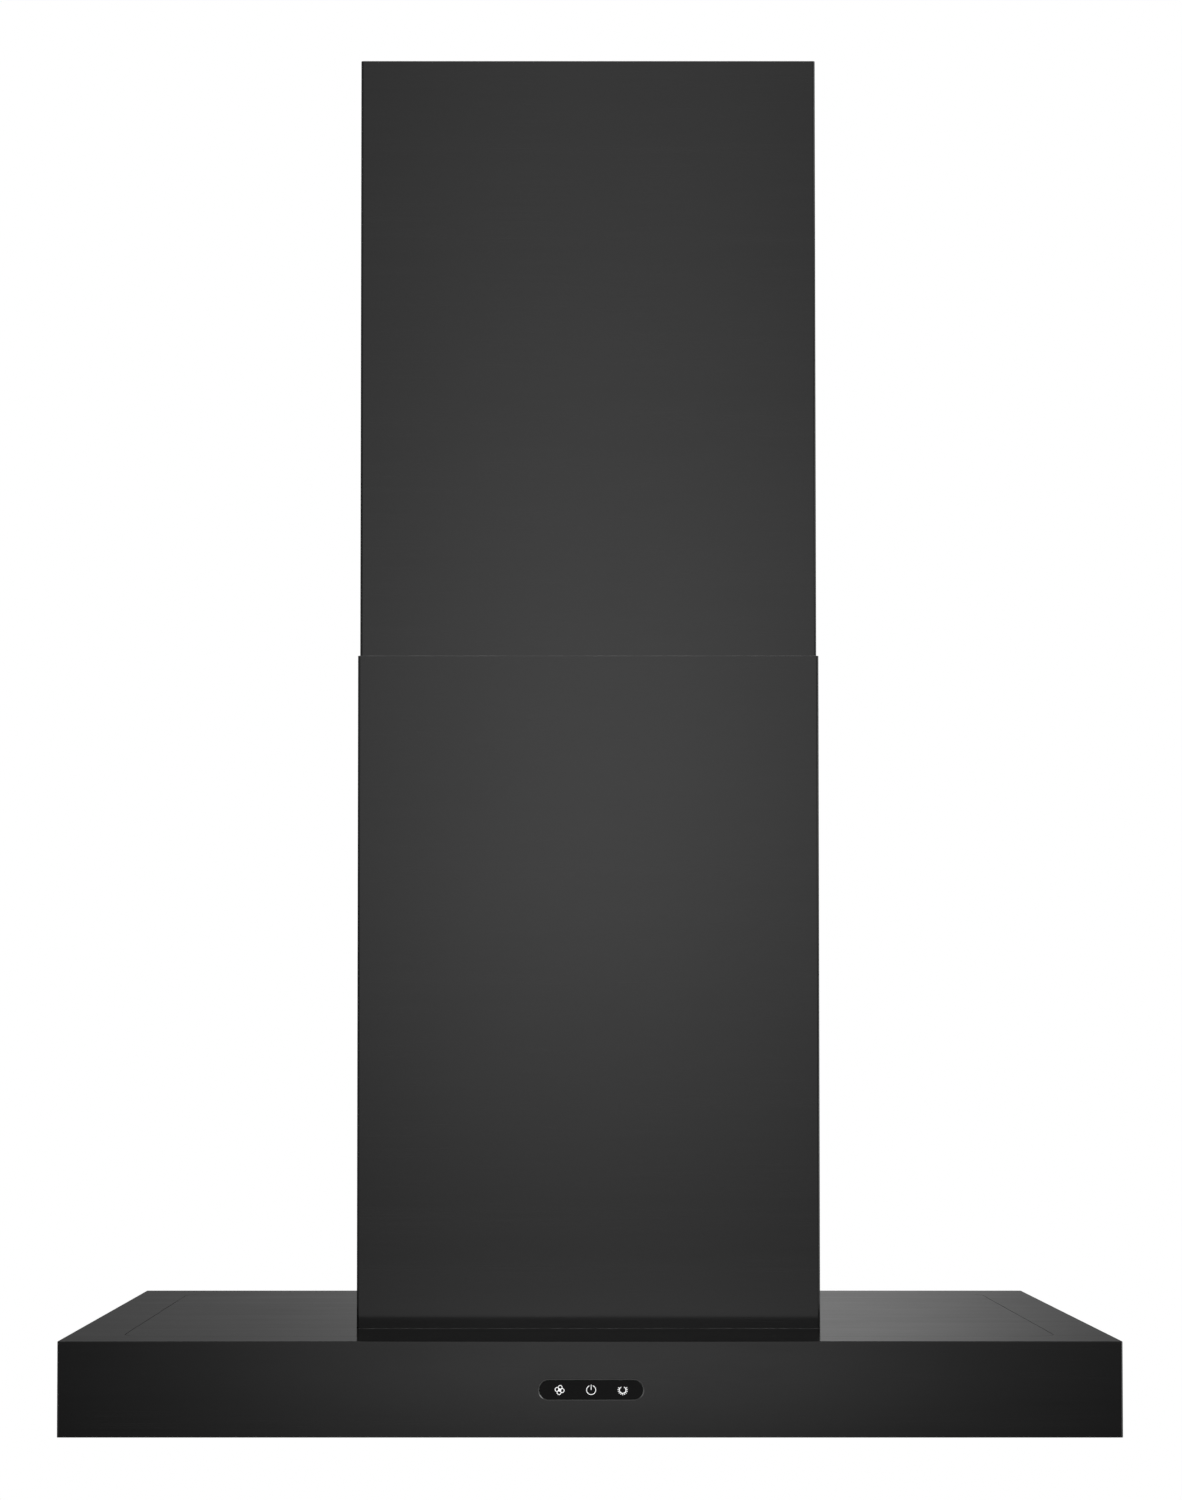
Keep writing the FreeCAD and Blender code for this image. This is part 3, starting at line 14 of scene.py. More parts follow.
import bpy
import numpy as np
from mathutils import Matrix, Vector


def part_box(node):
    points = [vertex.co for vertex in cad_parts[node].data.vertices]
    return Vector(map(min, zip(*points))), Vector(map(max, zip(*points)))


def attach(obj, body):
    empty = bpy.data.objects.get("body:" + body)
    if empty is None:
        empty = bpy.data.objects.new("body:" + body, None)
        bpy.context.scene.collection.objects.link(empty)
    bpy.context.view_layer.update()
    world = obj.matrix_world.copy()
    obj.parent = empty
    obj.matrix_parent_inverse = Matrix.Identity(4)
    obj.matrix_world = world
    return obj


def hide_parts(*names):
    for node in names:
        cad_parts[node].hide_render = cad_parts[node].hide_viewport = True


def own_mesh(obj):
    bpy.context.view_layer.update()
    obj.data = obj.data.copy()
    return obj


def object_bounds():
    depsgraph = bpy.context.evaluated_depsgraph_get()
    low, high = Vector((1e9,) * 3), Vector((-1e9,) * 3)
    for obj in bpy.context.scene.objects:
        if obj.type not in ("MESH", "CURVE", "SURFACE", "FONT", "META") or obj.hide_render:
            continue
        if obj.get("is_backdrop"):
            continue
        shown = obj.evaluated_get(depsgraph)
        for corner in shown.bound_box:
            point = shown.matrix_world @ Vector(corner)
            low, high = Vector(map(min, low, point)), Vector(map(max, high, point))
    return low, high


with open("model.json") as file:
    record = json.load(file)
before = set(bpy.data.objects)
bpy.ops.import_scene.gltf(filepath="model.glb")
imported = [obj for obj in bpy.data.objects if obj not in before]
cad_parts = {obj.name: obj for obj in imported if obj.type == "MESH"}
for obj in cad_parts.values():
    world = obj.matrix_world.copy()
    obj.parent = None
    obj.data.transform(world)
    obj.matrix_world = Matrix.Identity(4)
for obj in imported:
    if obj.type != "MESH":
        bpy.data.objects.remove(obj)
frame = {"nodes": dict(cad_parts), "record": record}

cad_low, cad_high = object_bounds()
scene = bpy.context.scene
nodes = frame["nodes"]
print("CAD box, metres:", [round(v, 4) for v in cad_high - cad_low])

# %% [markdown]
# ## The camera
#
# The hood is seen from the height of its lower flue, so its canopy's top shows as a thin slope and its
# front stays square. A longer lens looking almost straight ahead does that. Tilting the camera up would
# make the flue lean together at the top, so most of the framing comes from the lens shift, as with a
# view camera, and the tilt does only the small rest.

# %% Place the camera
LENS_MM = 77.84
SENSOR_MM = 36.0
SHIFT_X, SHIFT_Y = 0.0228, 0.135
TILT_DEGREES = 1.877
CAMERA_PLACE = (-0.028, -3.048, -0.8936)

camera = bpy.data.objects.new("camera", bpy.data.cameras.new("camera"))
camera.data.lens = LENS_MM
camera.data.sensor_width = SENSOR_MM
camera.data.shift_x, camera.data.shift_y = SHIFT_X, SHIFT_Y
camera.location = CAMERA_PLACE
camera.rotation_euler = (math.radians(90 + TILT_DEGREES), 0, 0)
scene.collection.objects.link(camera)
scene.camera = camera
print("camera, metres in front of the canopy:", round(cad_low.y - camera.location.y, 3))

# %% [markdown]
# ## Two helpers for shader nodes
#
# A shader tree is a list of nodes and the links between them. Writing each link by hand is slow to read,
# so one helper makes a node and fills its sockets, from numbers or from other nodes' outputs, and a second
# one starts a node group with named sockets.

# %% Helpers for nodes
def add_node(tree, kind, inputs=None, **settings):
    """A new node in the tree. inputs maps a socket's name or number to a value or to another output."""
    made = tree.nodes.new(kind)
    for name, value in settings.items():
        setattr(made, name, value)
    for key, value in (inputs or {}).items():
        if isinstance(value, bpy.types.NodeSocket):
            tree.links.new(value, made.inputs[key])
        else:
            made.inputs[key].default_value = value
    return made


def maths(tree, operation, a, b=0.0, clamp=False):
    """The output of one Math node."""
    return add_node(tree, "ShaderNodeMath", {0: a, 1: b}, operation=operation, use_clamp=clamp).outputs[0]


def noise(tree, vector, scale, detail=2.0, roughness=0.5):
    """The value of a noise pattern on a vector."""
    values = {"Vector": vector, "Scale": scale, "Detail": detail, "Roughness": roughness}
    return add_node(tree, "ShaderNodeTexNoise", values).outputs[0]


def spread(tree, value, low, high, to_low=0.0, to_high=1.0):
    """A value stretched from one range to another and held inside it."""
    values = {0: value, 1: low, 2: high, 3: to_low, 4: to_high}
    return add_node(tree, "ShaderNodeMapRange", values).outputs[0]


def blend_colours(tree, share, first, second):
    """A colour between two colours: the first where share is 0, the second where it is 1."""
    mix = add_node(tree, "ShaderNodeMix", data_type="RGBA")
    for socket, value in ((mix.inputs[0], share), (mix.inputs[6], first), (mix.inputs[7], second)):
        if isinstance(value, bpy.types.NodeSocket):
            tree.links.new(value, socket)
        else:
            socket.default_value = value
    return mix.outputs[2]


def start_group(name, inputs, outputs):
    """A node group with named sockets. Returns the tree, its inputs by name and its output sockets."""
    tree = bpy.data.node_groups.new(name, "ShaderNodeTree")
    for label, kind, value in inputs:
        socket = tree.interface.new_socket(name=label, in_out="INPUT", socket_type="NodeSocket" + kind)
        if value is not None:
            socket.default_value = value
    for label in outputs:
        tree.interface.new_socket(name=label, in_out="OUTPUT", socket_type="NodeSocketFloat")
    return tree, tree.nodes.new("NodeGroupInput").outputs, tree.nodes.new("NodeGroupOutput").inputs


def grey(value):
    """A neutral colour of one brightness."""
    return (value, value, value, 1.0)

# %% [markdown]
# ## The room
#
# A studio shot of dark glossy metal is lit by what the metal mirrors, not by lamps that shine on it. The
# sheets are nearly black, so their brightness is the reflection of the panels around them.
#
# - Two soft panels behind the camera, one above the other, and a thin strip under them give the flue and
#   the canopy's front their glow, which is strongest in the middle and fades to the sides.
# - A weak fill above the camera, a small strong lamp high on the right and a wide one on the left side
#   reach what is turned away from the camera, such as the rim of the touch strip.
# - Pale panels behind the hood are what the canopy's top mirrors, with more of them on the right.
# - The panels at the sides, behind and overhead light the hood for a look from another direction.
#
# The world itself holds these panels: each one is a smooth bump over the direction, so no reflection has a
# hard edge. What the camera sees behind the hood stays plain white.

# %% A soft panel as a node group
SMALLEST_FACING = 0.001    # keeps the slopes finite at the panel's side and behind it


def make_soft_panel():
    """Strength * exp(-((across / half width)^2 + (up / half height)^2)) in front of the panel, where
    across and up are the direction's own slopes from the panel's middle."""
    tree, given, out = start_group(
        "soft panel",
        [("Direction", "Vector", None), ("Towards", "Vector", None), ("Across", "Vector", None),
         ("Up", "Vector", None), ("Half width", "Float", 0.3), ("Half height", "Float", 0.3),
         ("Strength", "Float", 1.0)],
        ["Light"],
    )

    def along(axis):
        """The direction's part along one of the panel's own directions."""
        return add_node(tree, "ShaderNodeVectorMath", {0: given["Direction"], 1: given[axis]},
                        operation="DOT_PRODUCT").outputs["Value"]

    facing = maths(tree, "MAXIMUM", along("Towards"), SMALLEST_FACING)
    terms = []
    for axis, size in (("Across", "Half width"), ("Up", "Half height")):
        slope = maths(tree, "DIVIDE", maths(tree, "DIVIDE", along(axis), facing), given[size])
        terms.append(maths(tree, "MULTIPLY", slope, slope))
    fall = maths(tree, "EXPONENT", maths(tree, "MULTIPLY", maths(tree, "ADD", *terms), -1.0))
    in_front = maths(tree, "GREATER_THAN", along("Towards"), 0.0)
    light = maths(tree, "MULTIPLY", maths(tree, "MULTIPLY", fall, in_front), given["Strength"])
    tree.links.new(light, out["Light"])
    return tree


soft_panel = make_soft_panel()

# %% Hang the panels in the world
AMBIENT = 0.24
BACKGROUND = 1.0
PANELS = {
    # name: (towards, across, up, half width, half height, strength)
    "front low": ((0.014, -1, 0.06), (1, 0.014, 0), (0, 0.06, 1), 0.11, 0.13, 1.75),
    "front high": ((0.014, -1, 0.20), (1, 0.014, 0), (0, 0.20, 1), 0.14, 0.30, 2.7),
    "front strip": ((0.012, -1, -0.094), (1, 0.012, 0), (0, -0.094, 1), 0.12, 0.021, 1.5),
    "front fill": ((0, -1, 0.9), (1, 0, 0), (0, 0.9, 1), 0.9, 0.5, 0.5),
    "front right": ((0.9, -1, 0.8), (1, 0.9, 0), (0, 0.8, 1), 0.20, 0.30, 16.0),
    "front left": ((-0.80, -1, 0.15), (1, -0.80, 0), (0, 0.15, 1), 0.30, 0.45, 2.0),
    "right": ((1, -0.35, 0), (0.35, 1, 0), (0, 0, 1), 0.38, 0.40, 8.0),
    "backdrop": ((0, 1, 0.1), (1, 0, 0), (0, 0, 1), 0.085, 0.30, 0.32),
    "back right": ((0.085, 1, 0.08), (1, -0.085, 0), (0, -0.08, 1), 0.065, 0.30, 0.40),
    "left": ((-1, 0.1, 0.35), (0.1, 1, 0), (0.35, 0, 1), 0.50, 0.40, 1.4),
    "behind": ((-0.4, 1, 0.9), (1, 0.4, 0), (0, -0.9, 1), 0.50, 0.35, 2.2),
    "behind low": ((0.2, 1, -0.36), (1, -0.2, 0), (0, 0.36, 1), 0.80, 0.13, 3.5),
    "left low": ((-1, 0.2, -0.34), (0.2, 1, 0), (-0.34, 0, 1), 0.60, 0.13, 3.0),
    "right low": ((1, 0.2, -0.34), (-0.2, 1, 0), (0.34, 0, 1), 0.60, 0.13, 3.0),
    "overhead": ((0.1, -0.1, 1), (1, 0, 0), (0, 1, 0), 1.0, 0.8, 1.0),
}

world = bpy.data.worlds.new("studio")
scene.world = world
world.use_nodes = True
air = world.node_tree
air.nodes.clear()
direction = add_node(air, "ShaderNodeTexCoord").outputs["Generated"]
light = AMBIENT
for towards, across, up, half_width, half_height, strength in PANELS.values():
    length = math.sqrt(sum(v * v for v in towards))
    panel = add_node(air, "ShaderNodeGroup", node_tree=soft_panel)
    air.links.new(direction, panel.inputs["Direction"])
    panel.inputs["Towards"].default_value = [v / length for v in towards]
    panel.inputs["Across"].default_value = across
    panel.inputs["Up"].default_value = up
    panel.inputs["Half width"].default_value = half_width
    panel.inputs["Half height"].default_value = half_height
    panel.inputs["Strength"].default_value = strength
    light = maths(air, "ADD", panel.outputs["Light"], light)
lit = add_node(air, "ShaderNodeBackground", {"Color": grey(1.0), "Strength": light})
seen = add_node(air, "ShaderNodeBackground", {"Color": grey(1.0), "Strength": BACKGROUND})
camera_ray = add_node(air, "ShaderNodeLightPath").outputs["Is Camera Ray"]
choice = add_node(air, "ShaderNodeMixShader", {0: camera_ray, 1: lit.outputs[0], 2: seen.outputs[0]})
air.links.new(choice.outputs[0], add_node(air, "ShaderNodeOutputWorld").inputs[0])
scene.view_settings.view_transform = "Standard"
print("soft panels:", ", ".join(PANELS))

# %% [markdown]
# The floor is a plain pale disc, low enough to leave room for a look at the hood's underside. It is a
# surface of two parameters, the angle and the distance from the middle, and the springs and the touch
# strip's rim further down have two as well, so one helper turns a grid of points into a mesh.

# %% From a grid of points to a mesh
def grid_mesh(name, points, close_rows=False, close_columns=False, caps=False):
    """A mesh of quads over an array of points with the shape (rows, columns, 3). Closing joins the last
    row or column back to the first. Caps shut the first and the last row with one flat face each."""
    rows, columns = points.shape[:2]
    row, column = np.meshgrid(
        np.arange(rows - (not close_rows)), np.arange(columns - (not close_columns)), indexing="ij")
    next_row, next_column = (row + 1) % rows, (column + 1) % columns
    quads = np.stack([row * columns + column, row * columns + next_column,
                      next_row * columns + next_column, next_row * columns + column], axis=-1)
    faces = quads.reshape(-1, 4).tolist()
    smooth = [True] * len(faces)
    if caps:
        faces += [list(range(columns))[::-1], list(range((rows - 1) * columns, rows * columns))]
        smooth += [False, False]
    mesh = bpy.data.meshes.new(name)
    mesh.from_pydata(points.reshape(-1, 3), [], faces)
    mesh.polygons.foreach_set("use_smooth", smooth)
    mesh.update()
    made = bpy.data.objects.new(name, mesh)
    scene.collection.objects.link(made)
    return made


# %% The floor
FLOOR_BELOW_HOOD = 4.20
FLOOR_RADIUS = 12.0
FLOOR_MIDDLE_RADIUS = 0.001
FLOOR_SPOKES = 96
FLOOR_RINGS = 13
FLOOR_TONE = 0.86
FLOOR_ROUGHNESS = 0.7

floor_level = cad_low.z - FLOOR_BELOW_HOOD
spokes = np.linspace(0, 2 * np.pi, FLOOR_SPOKES + 1)[:-1]
rings = np.linspace(FLOOR_MIDDLE_RADIUS, FLOOR_RADIUS, FLOOR_RINGS)
angle, reach = np.meshgrid(spokes, rings, indexing="ij")
disc = np.stack([reach * np.cos(angle), reach * np.sin(angle), np.full_like(reach, floor_level)], axis=-1)
floor = grid_mesh("floor", disc, close_rows=True)
floor_paint = bpy.data.materials.new("pale floor")
floor_paint.use_nodes = True
floor_shader = floor_paint.node_tree.nodes["Principled BSDF"]
floor_shader.inputs["Base Color"].default_value = grey(FLOOR_TONE)
floor_shader.inputs["Roughness"].default_value = FLOOR_ROUGHNESS
floor.data.materials.append(floor_paint)
floor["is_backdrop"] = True
print("floor level, metres:", round(floor_level, 3))

# %% [markdown]
# ## Node groups for what many finishes share
#
# Brushing, spangle, moulded grain, dust, handling marks and edge masks, for wear and for a painted edge
# highlight, turn up in several finishes, each time with other numbers. Each is a node group that gives only
# a mask or a height, and the finish decides what to do with it.
#
# Brushed sheet is scratched along one direction. A noise that is stretched a thousand times longer one
# way than the other looks just like it. The sheets here stand on edge or lie flat, so the group turns its
# pattern to the face: scratches run level on a wall and from side to side on a top.

# %% Brushed lines
FACE_LIMIT = 0.7           # a face is flat, or an end, above this part of its normal
END_SHIFT = 7.3            # keeps the lines of an end from repeating those of the front
BAND_STRETCH = (0.35, 0.06, 1.0)


def make_brushed_lines():
    """Noise of (along * few per metre, across * many per metre), where across is height on a wall and
    depth on a flat face, and along is the other level direction."""
    tree, given, out = start_group(
        "brushed lines",
        [("Place", "Vector", None), ("Facing", "Vector", None), ("Lines", "Float", 1400.0),
         ("Stretch", "Float", 12.0)],
        ["Line", "Band"],
    )
    place = add_node(tree, "ShaderNodeSeparateXYZ", {0: given["Place"]}).outputs
    facing = add_node(tree, "ShaderNodeSeparateXYZ", {0: given["Facing"]}).outputs
    flat = maths(tree, "GREATER_THAN", maths(tree, "ABSOLUTE", facing["Z"]), FACE_LIMIT)
    end = maths(tree, "GREATER_THAN", maths(tree, "ABSOLUTE", facing["X"]), FACE_LIMIT)

    def pick(share, first, second):
        """first where share is 0, second where it is 1."""
        step = maths(tree, "MULTIPLY", maths(tree, "SUBTRACT", second, first), share)
        return maths(tree, "ADD", first, step)

    across = pick(flat, place["Z"], place["Y"])
    along = pick(end, place["X"], place["Y"])
    fine = add_node(tree, "ShaderNodeCombineXYZ", {
        0: maths(tree, "MULTIPLY", along, given["Stretch"]),
        1: maths(tree, "MULTIPLY", across, given["Lines"]),
        2: maths(tree, "MULTIPLY", end, END_SHIFT)}).outputs[0]
    tree.links.new(noise(tree, fine, 1.0, 3.0, 0.6), out["Line"])
    broad = add_node(tree, "ShaderNodeVectorMath", {0: fine, 1: BAND_STRETCH}, operation="MULTIPLY")
    tree.links.new(noise(tree, broad.outputs[0], 1.0, 2.0, 0.5), out["Band"])
    return tree


# %% Worn and highlighted edges, dust and handling marks
# The edge mask marks wear on most finishes and a painted highlight along the black stainless sheet's edges.
EDGE_STARTS, EDGE_FULL = 0.995, 0.80      # the dot product where the wear starts, and where it is full
DUST_STARTS, DUST_FULL = 0.3, 0.95        # the same for dust and the upward part of the normal


def make_edge_wear_and_highlight():
    """How far the surface turns within a small radius: 1 minus the dot product of the rounded normal and
    the true one, broken up by noise. It marks worn edges, and on the black stainless a painted edge
    highlight."""
    tree, given, out = start_group(
        "edge wear and highlight", [("Place", "Vector", None), ("Radius", "Float", 0.0008), ("Breaks", "Float", 90.0)],
        ["Edge"])
    rounded = add_node(tree, "ShaderNodeBevel", {"Radius": given["Radius"]}, samples=4).outputs[0]
    true = add_node(tree, "ShaderNodeNewGeometry").outputs["Normal"]
    match = add_node(tree, "ShaderNodeVectorMath", {0: rounded, 1: true}, operation="DOT_PRODUCT")
    turn = spread(tree, match.outputs["Value"], EDGE_STARTS, EDGE_FULL)
    worn = spread(tree, noise(tree, given["Place"], given["Breaks"], 3.0), 0.35, 0.65, 0.35, 1.0)
    tree.links.new(maths(tree, "MULTIPLY", turn, worn), out["Edge"])
    return tree


def make_settled_dust():
    """Dust where the surface faces up: the upward part of the normal, times the sum of a patchy noise and
    a fine one."""
    tree, given, out = start_group(
        "settled dust", [("Place", "Vector", None), ("Facing", "Vector", None), ("Amount", "Float", 0.3)],
        ["Dust"])
    up = add_node(tree, "ShaderNodeSeparateXYZ", {0: given["Facing"]}).outputs["Z"]
    up = spread(tree, up, DUST_STARTS, DUST_FULL)
    patches = spread(tree, noise(tree, given["Place"], 9.0, 4.0, 0.6), 0.35, 0.7)
    specks = spread(tree, noise(tree, given["Place"], 1300.0, 2.0, 0.7), 0.45, 0.72)
    dust = maths(tree, "MULTIPLY", up, maths(tree, "ADD", patches, specks))
    tree.links.new(maths(tree, "MULTIPLY", dust, given["Amount"], clamp=True), out["Dust"])
    return tree


def make_handling_marks():
    """Broad cloudy patches with smears in them, as left by hands and a cloth."""
    tree, given, out = start_group(
        "handling marks", [("Place", "Vector", None), ("Size", "Float", 6.0)], ["Mark"])
    cloud = noise(tree, given["Place"], given["Size"], 4.0, 0.55)
    wipe = add_node(tree, "ShaderNodeVectorMath", {0: given["Place"], 1: (1.0, 1.0, 4.5)},
                    operation="MULTIPLY")
    smear = noise(tree, wipe.outputs[0], maths(tree, "MULTIPLY", given["Size"], 2.3), 5.0, 0.65)
    mark = maths(tree, "ADD", maths(tree, "MULTIPLY", cloud, 0.6), maths(tree, "MULTIPLY", smear, 0.4))
    tree.links.new(mark, out["Mark"])
    return tree


# %% Spangle and moulded grain
def make_spangle():
    """The crystals of hot zinc: one random tone for each Voronoi cell, with a thin line between cells."""
    tree, given, out = start_group(
        "spangle", [("Place", "Vector", None), ("Size", "Float", 130.0)], ["Crystal", "Border"])
    bent = add_node(tree, "ShaderNodeTexNoise", {"Vector": given["Place"], "Scale": 60.0}).outputs["Color"]
    bent = add_node(tree, "ShaderNodeVectorMath", {0: bent, "Scale": 0.004}, operation="SCALE").outputs[0]
    place = add_node(tree, "ShaderNodeVectorMath", {0: given["Place"], 1: bent}, operation="ADD").outputs[0]
    cell = add_node(tree, "ShaderNodeTexVoronoi", {"Vector": place, "Scale": given["Size"]})
    tone = add_node(tree, "ShaderNodeSeparateXYZ", {0: cell.outputs["Color"]}).outputs[0]
    tree.links.new(tone, out["Crystal"])
    edge = add_node(tree, "ShaderNodeTexVoronoi", {"Vector": place, "Scale": given["Size"]},
                    feature="DISTANCE_TO_EDGE")
    tree.links.new(spread(tree, edge.outputs["Distance"], 0.0, 0.05, 1.0, 0.0), out["Border"])
    return tree


def make_moulded_grain():
    """The fine leathery grain of a spark-eroded mould: rounded cells of two sizes added together."""
    tree, given, out = start_group(
        "moulded grain", [("Place", "Vector", None), ("Grains", "Float", 900.0)], ["Grain"])
    coarse = add_node(tree, "ShaderNodeTexVoronoi", {"Vector": given["Place"], "Scale": given["Grains"]})
    fine = noise(tree, given["Place"], maths(tree, "MULTIPLY", given["Grains"], 1.9), 2.0)
    grain = maths(tree, "ADD", maths(tree, "MULTIPLY", coarse.outputs["Distance"], 0.6),
                  maths(tree, "MULTIPLY", fine, 0.4))
    tree.links.new(grain, out["Grain"])
    return tree


GROUPS = {
    "lines": make_brushed_lines(), "edge": make_edge_wear_and_highlight(), "dust": make_settled_dust(),
    "marks": make_handling_marks(), "spangle": make_spangle(), "grain": make_moulded_grain(),
}
print("node groups:", ", ".join(tree.name for tree in GROUPS.values()))

# %% [markdown]
# ## A starting point for each finish
#
# Every finish is a Principled shader with its constant values set on its own sockets, and a few masks from
# the groups that drive colour, roughness and bump. The helper below starts one and hands back small tools
# to place a group and to link a result.

# %% Start a finish
class Finish:
    """A material in the making: its tree, its shader and the two vectors that all patterns read."""

    def __init__(self, name, **values):
        self.material = bpy.data.materials.new(name)
        self.material.use_nodes = True
        self.tree = self.material.node_tree
        self.shader = self.tree.nodes["Principled BSDF"]
        for key, value in values.items():
            is_tone = key.endswith(("Color", "Tint"))
            self.shader.inputs[key.replace("_", " ")].default_value = grey(value) if is_tone else value
        source = add_node(self.tree, "ShaderNodeTexCoord")
        self.place, self.facing = source.outputs["Object"], source.outputs["Normal"]

    def mask(self, group, output, **values):
        """One output of a node group, placed in this material with its own values."""
        made = add_node(self.tree, "ShaderNodeGroup", node_tree=GROUPS[group])
        self.tree.links.new(self.place, made.inputs["Place"])
        if "Facing" in made.inputs:
            self.tree.links.new(self.facing, made.inputs["Facing"])
        for key, value in values.items():
            made.inputs[key].default_value = value
        return made.outputs[output]

    def stretch(self, value, to_low, to_high, low=0.3, high=0.7):
        """A mask stretched to a range of values."""
        return spread(self.tree, value, low, high, to_low, to_high)

    def tones(self, share, first, second):
        """A colour between two colours, where a mask is the share of the second."""
        first, second = (grey(c) if isinstance(c, float) else c for c in (first, second))
        return blend_colours(self.tree, share, first, second)

    def link(self, socket, value):
        """A result put into one of the shader's sockets."""
        self.tree.links.new(value, self.shader.inputs[socket])

    def bump(self, height, depth, strength=1.0):
        """Bump on the shader's normal; depth is the height of the pattern in metres."""
        values = {"Height": height, "Distance": depth, "Strength": strength}
        self.link("Normal", add_node(self.tree, "ShaderNodeBump", values).outputs[0])

    def times(self, a, b):
        """Two values multiplied."""
        return maths(self.tree, "MULTIPLY", a, b)

    def plus(self, a, b):
        """Two values added."""
        return maths(self.tree, "ADD", a, b)

# %% [markdown]
# ## Black stainless
#
# The hood's outer sheets are stainless steel, brushed, coated black and then sealed with a clear coat. Two
# layers are at work: the dark brushed metal gives a soft, broad reflection, and the coat over it a faint
# sharp one, which is why the flue's foot shows a dim mirror image of the canopy's top. The base colour is
# nearly black, and the tint of the metal's edge reflection is dark too, or the flat top would glare when
# seen at a low angle.

# %% Black stainless
STEEL_DARK, STEEL_LIGHT = 0.0014, 0.0048
# Tones of the painted highlight on the sheet's edges and of dust.
STEEL_EDGE_HIGHLIGHT, STEEL_DUSTY = 0.12, 0.12
STEEL_ROUGHNESS = (0.30, 0.36)
GLAZE_ROUGHNESS = (0.035, 0.070)
BRUSH_RANGE = (0.2, 0.8)
BRUSH_DEPTH = 0.000004


def make_black_steel():
    """Dark brushed metal under a clear coat, with a painted highlight on its edges. Both layers' roughness
    follows the brushing and the marks.
    """
    finish = Finish("black stainless", Metallic=1.0, Specular_Tint=0.10, Coat_Weight=0.30, Coat_IOR=1.5)
    line = finish.mask("lines", "Line", Lines=1500.0, Stretch=9.0)
    band = finish.mask("lines", "Band", Lines=700.0, Stretch=2.5)
    mark = finish.mask("marks", "Mark", Size=5.0)
    edge = finish.mask("edge", "Edge", Radius=0.0006)
    dust = finish.mask("dust", "Dust", Amount=0.10)
    brushed = finish.plus(finish.stretch(line, 0.0, 0.7), finish.stretch(band, 0.0, 0.3))
    colour = finish.tones(brushed, STEEL_DARK, STEEL_LIGHT)
    # Painted highlight: the edges are lightened in the base colour, standing in for the glint on the
    # sheets' rounded bends.
    colour = finish.tones(edge, colour, STEEL_EDGE_HIGHLIGHT)
    finish.link("Base Color", finish.tones(dust, colour, STEEL_DUSTY))
    for socket, limits in (("Roughness", STEEL_ROUGHNESS), ("Coat Roughness", GLAZE_ROUGHNESS)):
        rough = finish.stretch(brushed, *limits, *BRUSH_RANGE)
        finish.link(socket, finish.plus(rough, finish.stretch(mark, 0.0, 0.05)))
    finish.bump(line, BRUSH_DEPTH, 0.35)
    return finish.material


MATERIALS = {"black_steel": make_black_steel()}

# %% [markdown]
# ## The other metals
#
# Behind the black sheets the hood is made of cheaper metal: hot-dip galvanised brackets with their
# crystal pattern, plain brushed stainless filters, a satin liner, zinc-plated screws, a pressed aluminium
# wheel and a cast motor case. They share the groups above and differ in the numbers.

# %% Galvanised sheet
def make_galvanised():
    """Zinc crystals: each has its own tone and roughness, with a thin darker border that stands proud."""
    finish = Finish("galvanised sheet", Metallic=1.0, Roughness=0.42)
    crystal = finish.mask("spangle", "Crystal", Size=95.0)
    border = finish.mask("spangle", "Border", Size=95.0)
    mark = finish.mask("marks", "Mark", Size=14.0)
    edge = finish.mask("edge", "Edge", Radius=0.0007)
    colour = finish.tones(crystal, (0.46, 0.475, 0.49, 1.0), (0.66, 0.675, 0.69, 1.0))
    colour = finish.tones(finish.times(border, 0.35), colour, (0.36, 0.37, 0.38, 1.0))
    finish.link("Base Color", finish.tones(edge, colour, (0.78, 0.79, 0.80, 1.0)))
    rough = finish.plus(finish.stretch(crystal, 0.30, 0.48, 0.0, 1.0), finish.stretch(mark, 0.0, 0.10))
    finish.link("Roughness", rough)
    finish.bump(border, 0.00002, 0.5)
    return finish.material


# %% Brushed, satin and pressed metal
def make_brushed_metal(name, dark, light, rough, lines, stretch, worn):
    """A bare metal sheet: brushed lines drive its tone, roughness and bump, and its edges are brighter."""
    finish = Finish(name, Metallic=1.0)
    line = finish.mask("lines", "Line", Lines=lines, Stretch=stretch)
    band = finish.mask("lines", "Band", Lines=lines / 2, Stretch=stretch / 3)
    mark = finish.mask("marks", "Mark", Size=11.0)
    edge = finish.mask("edge", "Edge", Radius=0.0006)
    brushed = finish.plus(finish.stretch(line, 0.0, 0.6), finish.stretch(band, 0.0, 0.4))
    colour = finish.tones(brushed, dark, light)
    finish.link("Base Color", finish.tones(edge, colour, worn))
    rough = finish.stretch(brushed, rough - 0.05, rough + 0.05, 0.0, 1.0)
    finish.link("Roughness", finish.plus(rough, finish.stretch(mark, 0.0, 0.08)))
    finish.bump(line, 0.00001, 0.4)
    return finish.material


